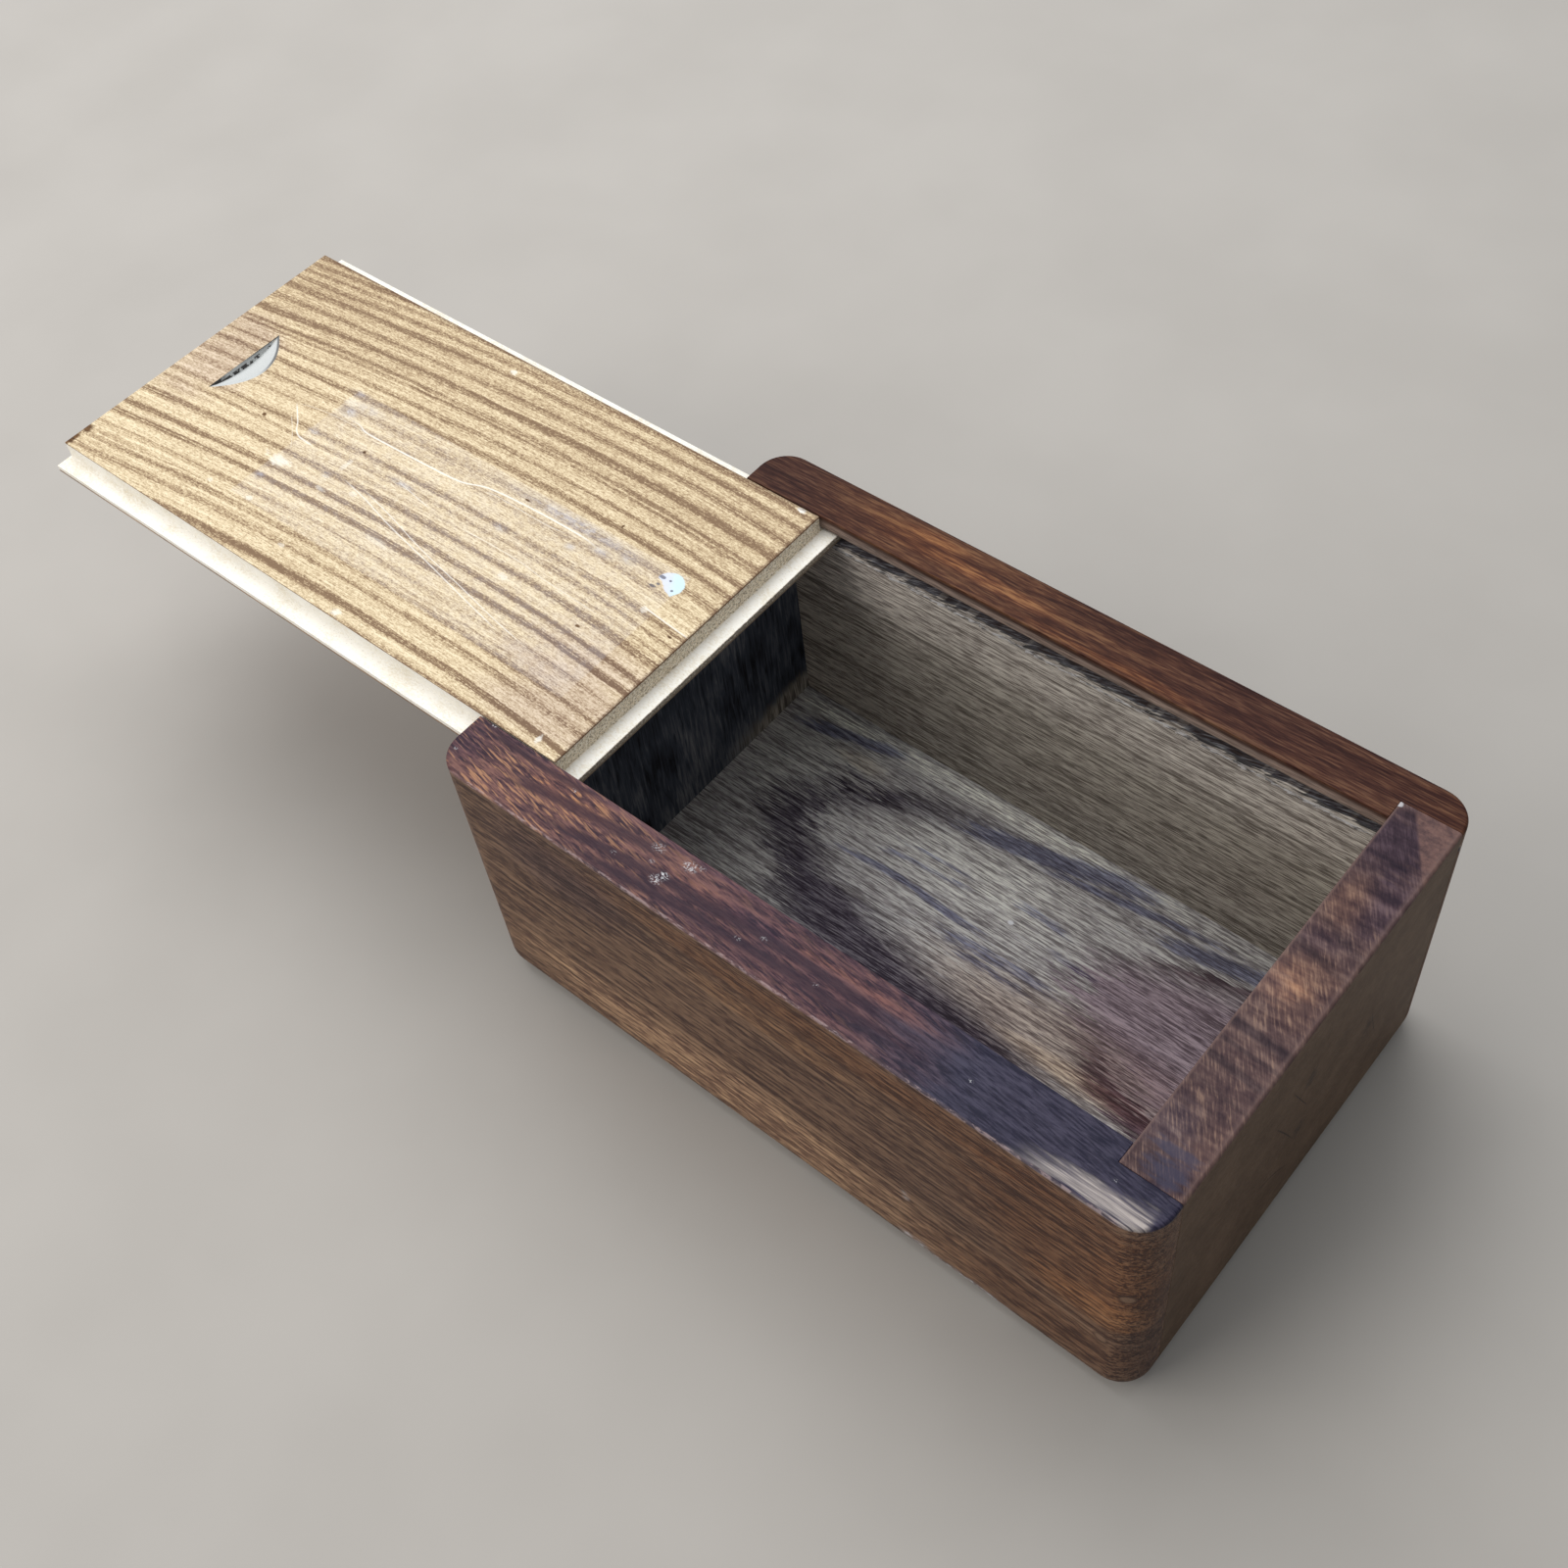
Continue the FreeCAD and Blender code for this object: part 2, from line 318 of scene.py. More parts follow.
# Painted shadow in the lid's groove and in the torn hollows under it.
GROOVE_SHADOW = tint(30, 32, 40)
FLAKE_GREY = tint(92, 95, 106)
FLAKE_PALE = tint(178, 180, 184)
SOOT_DARK = tint(30, 30, 34)
SOOT = tint(64, 69, 79)
SOOT_LIGHT = tint(122, 122, 124)
CREAM = tint(245, 240, 230)
BUFF = tint(224, 212, 188)
NOTCH_CREAM = tint(192, 193, 191)
FIBRE_GREY = tint(142, 128, 110)
SHOULDER = tint(240, 222, 192)
STRAW = tint(236, 217, 183)
HONEY = tint(212, 191, 155)
RING_BROWN = tint(176, 151, 118)
RING_DARK = tint(126, 100, 75)
LABEL_WHITE = tint(214, 218, 232)
LABEL_GREY = tint(120, 116, 128)
LABEL_BLUE = tint(204, 228, 236)
LABEL_DARK = tint(82, 80, 92)
BLACK_BROWN = tint(36, 30, 30)
TORN_DARK = tint(96, 92, 90)
TORN_PALE = tint(190, 186, 184)
FRAY_DARK = tint(96, 84, 70)
FRAY_PALE = tint(176, 166, 150)
STUDIO_DARK = tint(172, 166, 159)
STUDIO_PALE = tint(176, 170, 163)

# Gains: how many times lighter or darker a patch is than the wood round it.
LIGHTER = (1.75, 1.8, 1.7, 1)
TAN = (1.8, 1.75, 1.5, 1)
TANNER = (2.3, 2.4, 2.2, 1)
DARKER = (0.62, 0.6, 0.68, 1)
DARKEST = (0.42, 0.42, 0.52, 1)
PURPLER = (0.62, 0.62, 0.86, 1)
REDDER = (0.95, 0.78, 0.66, 1)
OCHRE = (1.55, 1.4, 1.1, 1)
UMBER = (0.8, 0.66, 0.58, 1)
DUSTY = (1.22, 1.38, 1.5, 1)
ROSY = (0.82, 0.79, 0.88, 1)
PLUM = (0.64, 0.52, 0.61, 1)
HEART = (0.165, 0.138, 0.2, 1)
BLUE_HEART = (0.45, 0.47, 0.65, 1)
PLUM_HEART = (0.38, 0.3, 0.34, 1)
# Painted light on the far wall's inside: lighter towards its top, its outer end and its bottom.
PAINTED_LIGHT_HIGH = (1.4, 1.4, 1.45, 1)
PAINTED_LIGHT_OUTER = (1.35, 1.33, 1.33, 1)
PAINTED_LIGHT_LOW = (1.14, 1.15, 1.17, 1)


def flat_marks(marks, level, depth):
    """Marks given by place and half size on a level face, as marks in space."""
    return [((*place, level), (*reach, depth), gain, strength) for place, reach, gain, strength in marks]


def skin(across, face, inward):
    """1 on a board's face and 0 half a millimetre in; inward is the sign of that way."""
    return across.step(face + inward * 0.5, face + inward * 0.1)


def end_grain(f, coat, end):
    """Lays the darker end grain on a side wall's outer end."""
    coat.lay(END_GRAIN, f.x.step(end + 4, end + 1) * 0.65)


def raw_inside(f, seed, along):
    """Unpolished inside face of a wall: grey-brown with fine straight fibres."""
    return f.shade(f.grain(seed, along, (0.4, 1, 1.8, 1.9)), INSIDE)


# The near wall, in millimetres. Marks have a centre, a half size, a gain and a strength.
NEAR_FACE_MARKS = [
    ((-58, -61, 66), (20, 9, 10), PURPLER, 0.75),
    ((-18, -61, 15), (54, 9, 11), TANNER, 1),
    ((-78, -61, 22), (16, 9, 5), LIGHTER, 0.35),
    ((-70, -61, 40), (30, 9, 3), LIGHTER, 0.25),
    ((2, -61, 63), (22, 9, 4), OCHRE, 0.6),
    ((20, -61, 74), (60, 9, 5), REDDER, 0.9),
    ((78, -61, 55), (24, 9, 22), REDDER, 0.95),
    ((85, -61, 37), (13, 9, 6), OCHRE, 0.95),
    ((90, -58, 55), (7, 9, 16), OCHRE, 0.45),
    ((40, -61, 35), (20, 9, 5), DARKER, 0.55),
    ((25, -61, 48), (40, 9, 4), DARKER, 0.4),
    ((70, -61, 16), (26, 9, 9), REDDER, 0.6),
    ((92, -55, 30), (5, 5, 60), DARKER, 0.8),
]
# Lines along the face as points (x, z), half width and strength.
PALE_LINES = [
    ([(-95, 29.3), (-60, 30.2), (-20, 29.8), (5, 28.6), (40, 26.8), (95, 25.5)], 0.9, 0.8),
    ([(-95, 49.8), (-55, 47.8), (-5, 45), (40, 44)], 0.8, 0.65),
    ([(-95, 58), (-40, 60), (10, 57), (60, 55)], 0.7, 0.45),
]
# Scuffs near the base as x, z, half length and strength, and round plugs as (x, z).
NEAR_SCUFFS_LOW = [(53, 4.6, 10, 1), (60, 3.4, 5, 1), (38, 6.4, 4, 0.6), (36, 26.6, 1.2, 0.4)]
PLUGS = [(-89.5, 29.5), (86.5, 25), (91, 49)]
# On the top: marks, dark streaks as points (x, y) and half width, scuffs as x, y, size and strength.
NEAR_TOP_MARKS = [
    ((-92, -52.5), (6, 4.5), PURPLER, 0.9),
    ((-8, -50.8), (8, 1.5), PURPLER, 0.9),
    ((12, -53), (42, 12), PURPLER, 0.75),
    ((30, -49.6), (12, 0.9), OCHRE, 0.8),
    ((8, -49.8), (7, 0.9), OCHRE, 0.6),
    ((-18, -51.4), (12, 1.4), OCHRE, 0.5),
    ((-45, -46), (60, 0.8), PURPLER, 0.8),
    ((-62, -50), (10, 3), OCHRE, 0.5),
]
NEAR_TOP_STREAKS = [
    ([(-80, -54), (-60, -51.8), (-47, -50.4), (-30, -48.6)], 1.3),
    ([(-74, -59.4), (-60, -57.5), (-45, -55.5), (-30, -54), (-15, -53), (0, -52.2), (46, -52.4)], 1.2),
    ([(-60, -60.4), (-40, -58.8), (-25, -57.5), (-10, -56.6), (10, -55.8), (46, -56)], 1.3),
    ([(-92, -47.2), (-72, -47.6), (-54, -46.2)], 0.8),
]
NEAR_SCUFFS = [
    (-31.2, -53.4, 1.3, 0.9), (-32, -55, 1.6, 0.7), (-28.2, -48.3, 1.8, 0.7), (-25.8, -47.2, 0.9, 0.5),
    (-37, -48.5, 1.8, 0.35), (-62.3, -48.2, 0.7, 0.6), (-44, -55.3, 0.8, 0.4), (-36, -52, 0.8, 0.4),
    (-8.5, -55.8, 0.8, 0.35), (-4, -52.7, 0.8, 0.35), (11.3, -54.8, 0.7, 0.4), (49, -53.5, 0.6, 0.5),
    (82.4, -54, 0.6, 0.4), (-92.5, -55.5, 0.6, 0.4), (-90, -45.6, 0.8, 0.6), (20, -61, 0.6, 0.5),
]
# Where the top turns to a painted slate-blue sky reflection in x, and its sapwood's side in y, start and
# end in x.
SKY_REFLECTION_RANGE = (18, 46)
SAP_SIDE = (-54, -57)
SAP_START = (62, 80)
SAP_END = (93.2, 91.6)


def near_wall_finish():
    """Near wall: brown outside, dark red on top with painted slate-blue sky reflection at right, raw
    inside.
    """
    f = Finish("near_wall_wood", 0.13)
    bands = f.noise((34, 9, 2.6), 25, 3, 0.65, 0.3)
    pores = f.noise((3.2, 2, 0.9), 27, 2, 0.65)
    tone = f.swing(f.grain(11, "x", (0.5, 1.4, 2.2, 2.2)), (bands, 1), (pores, 1.3))
    ragged = (f.noise((26, 3, 2.2), 21, 3, 0.6) - 0.5) * 2.4
    face = f.shade(tone, FACE, 0.32)
    for points, width, strength in PALE_LINES:
        line = f.stroke(points, width, f.x, f.z + ragged * 0.5)
        face.lay(PALE_LINE, line * strength)
    face.patches(NEAR_FACE_MARKS, ragged)
    chips = f.noise((2.2, 1, 0.6), 23, 3, 0.65).step(0.46, 0.57)
    for x, z, reach, strength in NEAR_SCUFFS_LOW:
        scuff = f.spot((x, NEAR_LOW.y, z), (reach, 9, 1.6))
        face.lay(CHALK, scuff * chips * strength)
    end_grain(f, face, NEAR_LOW.x)
    for x, z in PLUGS:
        place = (x, NEAR_LOW.y, z)
        face.lay(FACE[DARK], f.spot(place, (2, 9, 2), 0.2) * 0.6)
        face.lay(FACE[LIGHT], f.spot(place, (1.3, 9, 1.3), 0.3) * 0.8)

    streaky = f.noise((70, 2.3), 31, 3, 0.6, 0.3, (0, 0, -4))
    fine = f.noise((5, 0.5), 32, 2, 0.6, 0.2, (0, 0, 6))
    mottle = f.noise((3.2, 0.8), 34, 3, 0.65, 0.5)
    red = f.swing(0.5, (streaky, 1.3), (fine, 1.4), (mottle, 1))
    top = f.shade(red, TOP, 0.26)
    dark = 0
    for points, width in NEAR_TOP_STREAKS:
        dark = f.stroke(points, width * 1.5, f.x, f.y + ragged * 0.5, 0.2).most(dark)
    flecked = f.noise((5.5, 0.55), 33, 2, 0.6, 0.1, (0, 0, 11)).step(0.5, 0.64)
    top.lay(FLECK, flecked * (1 - dark) * (f.x.step(-15, -75) * 0.7 + 0.15))
    top.lay(TOP[DARK], dark * 0.8)
    top.patches(flat_marks(NEAR_TOP_MARKS, RIM, 3), ragged)
    # Painted reflection of a bluish sky: the top's right part turns slate-blue.
    sky_reflection = (f.x + ragged * 12).step(*SKY_REFLECTION_RANGE)
    sky_reflection_tone = f.mix(SKY_REFLECTION_DARK, SKY_REFLECTION_LIGHT, (red - 0.3) * 2)
    top.lay(sky_reflection_tone, sky_reflection * 0.96)
    sap_edge = f.swing(f.y + (90 - f.x) * 0.09, (fine, 3.2), (streaky, 5))
    stripes = f.noise((24, 0.9), 39, 3, 0.65, 0.3)
    sap = sap_edge.step(*SAP_SIDE) * (f.x + ragged * 7).step(*SAP_START) * f.x.step(*SAP_END)
    top.lay(SAPWOOD, sap * (0.55 + (stripes - 0.5) * 4.2))
    flakes = f.noise((0.55, 0.45), 37, 2, 0.6).step(0.5, 0.6)
    for x, y, reach, strength in NEAR_SCUFFS:
        scuff = f.spot((x, y, RIM), (reach * 0.85, reach * 0.6, 2), 0.6)
        top.lay(CHALK, scuff * flakes * strength)
    # A painted highlight along the top's eased outer edge, broken up by the chips noise.
    wear_and_highlight = f.y.step(NEAR_LOW.y + 0.6, NEAR_LOW.y + 0.3) * (0.12 + chips * 0.45)
    top.lay(EDGE_HIGHLIGHT, wear_and_highlight)

    on_top = f.z.step(RIM - 1.1, RIM - 0.5)
    inside = skin(f.y, NEAR_HIGH.y, -1) * (1 - on_top)
    face.lay(top, on_top)
    face.lay(raw_inside(f, 41, "x"), inside)
    roughness = 0.46 - on_top * 0.06 + inside * 0.3 + tone * 0.08
    return f.done(face, roughness, tone, 0.06)


# The far wall: marks on its top, and darker lines on its inside as points (x, z) and half width.
FAR_TOP_MARKS = [
    ((-86, 55), (18, 12), DARKER, 0.55),
    ((-90, 55), (14, 12), PURPLER, 0.5),
    ((-23, 53), (15, 1.7), TAN, 0.85),
    ((-45, 54.5), (16, 3.2), OCHRE, 0.55),
    ((-43, 57.6), (8, 1.4), TAN, 0.5),
    ((4, 58), (12, 2.4), DARKER, 0.75),
    ((-24, 56.4), (14, 0.9), DARKER, 0.6),
    ((20, 49.4), (14, 1.2), OCHRE, 0.8),
    ((-4, 49.3), (8, 1), OCHRE, 0.5),
    ((-30, 50.6), (26, 0.9), DARKER, 0.45),
    ((56, 54), (38, 9), PURPLER, 0.6),
    ((60, 57.5), (30, 1.3), DARKER, 0.6),
    ((0, 60.6), (100, 0.9), DARKER, 0.7),
]
FAR_INSIDE_LINES = [
    ([(-83, 55.5), (-20, 55), (20, 56.5), (81, 57.5)], 0.9),
    ([(-83, 31.5), (-30, 31), (20, 32), (81, 34)], 0.8),
    ([(-83, 46), (-30, 48), (30, 47), (81, 50)], 0.6),
    ([(-83, 66), (-10, 66.5), (81, 65)], 0.5),
    ([(-83, 13), (0, 14), (81, 15)], 0.6),
]
# Height of the torn band under a groove, whose hollows get painted shadow.
TORN_BAND = 2.6


def torn_hollow_shadow(f, seed, slope):
    """Painted shadow mask: 1 in the slanting hollows torn out under a groove, which thin out downwards."""
    slivers = f.noise((7, STILL, 0.9), seed, 2, 0.55, 0.2, (0, slope, 0))
    torn = (f.z - (GROOVE_LOW - TORN_BAND)) / TORN_BAND + (slivers - 0.5) * 3.2
    return torn.step(0.62, 0.85) * f.z.step(GROOVE_LOW + 0.6, GROOVE_LOW + 0.1)


def far_wall_finish():
    """Far wall: brown outside, dark red-brown on top, raw inside."""
    f = Finish("far_wall_wood", 0.06)
    tone = f.grain(53, "x", (0.4, 0.6, 0.9, 0.7))
    ragged = (f.noise((26, 2, 2.2), 55, 3, 0.6) - 0.5) * 2.4
    face = f.shade(tone, FACE, 0.32)
    end_grain(f, face, FAR_LOW.x)
    streaky = f.noise((50, 1.6), 71, 3, 0.6, 0.3, (0, 0, -3))
    fine = f.noise((6, 0.45), 73, 2, 0.6, 0.2)
    red = f.swing(0.45, (streaky, 1.3), (fine, 1.4))
    top = f.shade(red, FAR_TOP, 0.26)
    top.patches(flat_marks(FAR_TOP_MARKS, RIM, 3), ragged)
    pores = f.noise((4, 0.32), 75, 1, 0.5, 0, (0, 0, 4)).step(0.56, 0.68)
    top.gain(DARKER, pores * 0.7)
    inside = raw_inside(f, 83, "x")
    # Painted light: the inside made lighter towards its top, its outer end and its bottom.
    inside.gain(PAINTED_LIGHT_HIGH, f.z.step(46, 66))
    inside.gain(PAINTED_LIGHT_OUTER, f.x.step(-30, -70))
    inside.gain(PAINTED_LIGHT_LOW, f.z.step(32, 16))
    for points, width in FAR_INSIDE_LINES:
        line = f.stroke(points, width, f.x, f.z + ragged * 0.6)
        inside.lay(INSIDE[DARK], line * 0.6)
    lip = f.z.step(GROOVE_LOW + 1.6, GROOVE_LOW + 2.2)
    inside.lay(f.mix(LIP_DARK, LIP_BROWN, (tone - 0.26) * 2.2), lip * 0.85)
    inside.lay(FAR_TOP[DARK], (f.z + ragged * 0.3).step(RIM - 2.4, RIM - 0.9) * 0.85)
    # Painted shadow in the torn hollows under the groove.
    inside.lay(GROOVE_SHADOW, torn_hollow_shadow(f, 87, 13) * 0.85)
    on_top = f.z.step(RIM - 0.9, RIM - 0.4)
    within = skin(f.y, FAR_LOW.y, 1) * (1 - on_top)
    in_groove = f.z.step(GROOVE_LOW - 0.1, GROOVE_LOW + 0.1)
    in_groove = in_groove * f.z.step(GROOVE_HIGH + 0.1, GROOVE_HIGH - 0.1)
    reached = f.y.step(FAR_LOW.y + GROOVE_REACH, FAR_LOW.y + GROOVE_REACH - 0.5)
    within = within.most(in_groove * reached)
    face.lay(top, on_top)
    face.lay(inside, within)
    # The groove's ledge: painted groove shadow, broken by grey and pale torn flakes.
    ledge = in_groove * f.y.step(FAR_LOW.y - 0.1, FAR_LOW.y + 0.1) * reached
    ledge = ledge * f.z.step(GROOVE_LOW + 1.6, GROOVE_LOW + 1.2)
    flakes = f.noise((4.5, 0.5), 89, 2, 0.6, 0.2, (0, 0, -14))
    face.lay(f.tones(flakes, (0.42, GROOVE_SHADOW), (0.54, FLAKE_GREY), (0.68, FLAKE_PALE)), ledge)
    roughness = 0.48 - on_top * 0.04 + within * 0.3 + tone * 0.08
    return f.done(face, roughness, tone, 0.07)


# The closed end's top: marks, and dark bands as y at its inner and outer edge, half width and strength.
CLOSED_TOP_MARKS = [
    ((85, 43), (7, 8), PURPLER, 0.95),
    ((86, 42), (6, 10), DARKER, 0.9),
    ((92.5, 28), (5, 9), PURPLER, 0.85),
    ((85, 24), (4, 7), OCHRE, 0.65),
    ((85, 14), (5, 3), PURPLER, 0.5),
    ((84, 0.5), (5, 4.5), TAN, 1),
    ((88, 5), (6, 5), OCHRE, 0.6),
    ((90, -3), (5, 5), OCHRE, 0.35),
    ((83.5, -38), (5, 5), DUSTY, 0.9),
    ((86, -46.5), (7, 4), DARKEST, 0.45),
    ((92.5, -41), (3, 7), TAN, 0.35),
]
CROSS_BANDS = [
    (-11.8, -13.4, 1.9, 0.95), (-16.4, -17.6, 0.9, 0.7), (-20.6, -22.6, 1.5, 0.8), (-26.5, -28.5, 0.8, 0.4),
    (12, 7, 1.6, 0.5), (20, 13, 1.8, 0.5),
]
# A worn triangle at its far corner: a point on its long side, and the way into it.
TRIANGLE_SIDE = (89.7, 44)
TRIANGLE_WAY = (0.836, 0.549)
# Patches of painted slate-blue sky reflection on the top as place (x, y) and half size; spots (y, z) and
# cracks of the outer face.
SKY_REFLECTION_PATCHES = [((89.5, -46.8), (4.5, 2.6)), ((88.5, -42.2), (4.5, 1.4))]
END_SPOTS = [(-0.5, 33.7), (-0.1, 55.6), (26.7, 39.2)]
CRACKS = [
    ([(-14, 54), (-8, 43), (-2, 31)], 0.35), ([(-9, 62), (-3, 50), (2, 40)], 0.3),
    ([(26, 48), (29, 38), (33, 27)], 0.35), ([(-20, 30), (-10, 26), (0, 17)], 0.25),
]


def closed_end_finish():
    """Closed end: grain along Y, with painted sheen as slanting bright streaks on its top edge."""
    f = Finish("closed_end_wood", 0.1)
    tone = f.grain(97, "y", (0.5, 0.5, 0.6, 0.5))
    blotches = f.noise((20, 14, 11), 99, 3, 0.55)
    pores = f.noise((2, 1.3, 1), 100, 3, 0.7)
    olive = f.swing(0.5, (blotches, 0.9), (tone, 0.5), (pores, 1.1))
    face = f.shade(olive, END_FACE)
    for points, width in CRACKS:
        face.lay(BLACK_BROWN, f.stroke(points, width * 1.6, f.y, f.z, 0.3) * 0.8)
    smudged = (pores - 0.5) * 3
    for y, z in END_SPOTS:
        face.lay(BLACK_BROWN, f.spot((CLOSED_HIGH.x, y, z), (9, 1.8, 2.6), 0.6, smudged) * 0.5)
    ragged = (f.noise((5, 1.2), 101, 2) - 0.5) * 2
    sheen = f.noise((0.42, 4.5), 103, 2, 0.65, 0.1, (0, 0, -35))
    cross = f.noise((14, 3.2), 107, 3, 0.6, 0.2)
    mottle = f.noise((6, 4.5), 105, 3, 0.6)
    mixed = f.swing(0.5, (cross, 1.1), (sheen, 0.7), (mottle, 0.8))
    top = f.shade(mixed, END_TOP, 0.26)
    top.patches(flat_marks(CLOSED_TOP_MARKS, RIM, 3), ragged)
    dark = 0
    for inner, outer, width, strength in CROSS_BANDS:
        band = f.stroke([(79, inner), (96, outer)], width, f.x, f.y + ragged * 0.35, 0.01)
        dark = (band * strength).most(dark)
    # Painted sheen: slanting bright streaks on the top, fewer on the dark bands.
    lit = mottle.step(0.36, 0.6) * f.y.step(36, 8) * (1 - dark * 0.8)
    top.lay(PAINTED_SHEEN_STREAK, sheen.step(0.52, 0.7) * lit * 0.45)
    top.gain(DARKEST, dark)
    corner = f.past(TRIANGLE_SIDE, TRIANGLE_WAY)
    wear_and_highlight = f.tones(f.noise((2, 1.4), 106, 3, 0.7), (0.34, END_TOP[MIDDLE]), (0.66, CORNER_RED))
    top.lay(wear_and_highlight, corner.step(-0.3, 0.6) * f.y.step(26, 36) * 0.8)
    # Painted sky reflection in slate-blue patches at the top's near end.
    for place, reach in SKY_REFLECTION_PATCHES:
        patch = f.spot((*place, RIM), (*reach, 3), 0.4, ragged)
        top.lay(SKY_REFLECTION_LIGHT, patch * 0.7)
    top.lay(END_TOP[LIGHT], f.x.step(CLOSED_HIGH.x - 1.8, CLOSED_HIGH.x - 0.7) * 0.35)
    top.lay(END_TOP[LIGHT], f.x.step(CLOSED_LOW.x + 0.7, CLOSED_LOW.x + 0.2) * 0.5)
    chip = f.spot((CLOSED_LOW.x + 0.3, 52, RIM), (0.6, 0.7, 2), 0.4, ragged)
    top.lay(CHALK, chip * 0.6)
    on_top = f.z.step(RIM - 0.9, RIM - 0.4)
    within = skin(f.x, CLOSED_LOW.x, 1) * (1 - on_top)
    face.lay(top, on_top)
    face.lay(raw_inside(f, 109, "y"), within)
    roughness = 0.5 - on_top * 0.06 + within * 0.25 + tone * 0.08
    return f.done(face, roughness, tone, 0.05)


def open_end_finish():
    """Open end: as the closed one outside, nearly black and rough inside."""
    f = Finish("open_end_wood", 0.1)
    tone = f.grain(113, "y", (0.5, 0.6, 0.8, 0.6))
    face = f.shade(tone, FACE)
    sawn = f.noise((STILL, 0.9, 12), 117, 3, 0.65, 0.8)
    blotches = f.noise((STILL, 15, 20), 119, 2)
    soot = f.swing(0.5, (sawn, 0.9), (blotches, 0.8))
    inside = f.tones(soot, (0.28, SOOT_DARK), (0.5, SOOT), (0.8, SOOT_LIGHT))
    chip = f.spot((OPEN_HIGH.x, 44, 10.5), (3, 22, 6), 0.35, (sawn - 0.5) * 2)
    inside.lay(f.mix(INSIDE[DARK], INSIDE[LIGHT], sawn.step(0.4, 0.62)), chip * 0.85)
    within = skin(f.x, OPEN_HIGH.x, -1)
    face.lay(inside, within)
    roughness = 0.48 + within * 0.35 + tone * 0.08
    return f.done(face, roughness, tone * (1 - within) + sawn * within, 0.1)


# The floor: two arches by crown, tilt, rise, power and squat, thin streaks as points (x, y), half width
# and depth, marks, and one chalky speck.
HEART_ARCH = ((-53, 14), 0.03, 6.2, 0.35, 0.9)
PLUM_ARCH = ((27, 15.5), 0.05, 4.4, 0.44, 0)
BLUE_STREAKS = [
    ([(-84, 35), (-79, 36.5), (-67, 39.5), (-59, 41.2), (-50, 43), (-38, 44.6)], 3, 0.95),
    ([(-34, 33), (-10, 36.9), (-2, 38.5), (8, 40.5), (22, 43.2), (44, 45)], 4.2, 1),
    ([(-8, 33.5), (10, 36.8), (25, 39.2), (40, 41.3), (64, 43.6)], 1.8, 0.9),
    ([(30, 34.6), (56, 39), (68, 40.6), (82, 42)], 3.4, 1),
    ([(-40, 16.6), (-20, 19), (0, 20.4)], 1.2, 0.7),
    ([(-34, 20.4), (-19, 22.8), (-2, 23)], 1, 0.6),
    ([(-51, 8.6), (-38, 11.3), (-24, 12.3), (-12, 11.8), (12, 10.6)], 1.7, 0.9),
    ([(-13, 6), (8, 7.2), (18, 7.8), (34, 6.4)], 2.6, 0.75),
    ([(-8, 2), (10, 4), (28, 3)], 1.8, 0.65),
    ([(0, 22.8), (12, 23.9), (26, 23.2)], 2, 0.55),
    ([(14, 17.8), (38, 16)], 1.6, 0.5),
    ([(-60, -24), (0, -30), (70, -26)], 4, 0.9),
    ([(-80, -36), (0, -42), (80, -38)], 3.2, 0.8),
]
FLOOR_MARKS = [
    ((-12, 26), (26, 9), LIGHTER, 0.35),
    ((-68, 25), (11, 12), LIGHTER, 0.28),
    ((-20, 44.6), (56, 2.4), LIGHTER, 0.9),
    ((-68, 43.2), (11, 2.2), LIGHTER, 0.5),
    ((34, -3), (36, 10), UMBER, 0.8),
    ((46, -8), (20, 2.4), OCHRE, 0.5),
    ((-54, 35.5), (7, 2.2), OCHRE, 0.35),
]
FLOOR_SPECK = (6.6, 18.2)


def arch(x, y, crown, tilt, rise, power, squat):
    """Distance outside an arch that opens to +X, and 1 on its flatter near side."""
    run = (x - crown[0]).most(0.01)
    side = y - crown[1] + run * tilt
    near = side.step(1, -4)
    height = run.math("POWER", run, power) * (rise - near * squat)
    return abs(side) - height + (crown[0] - x).most(0), near


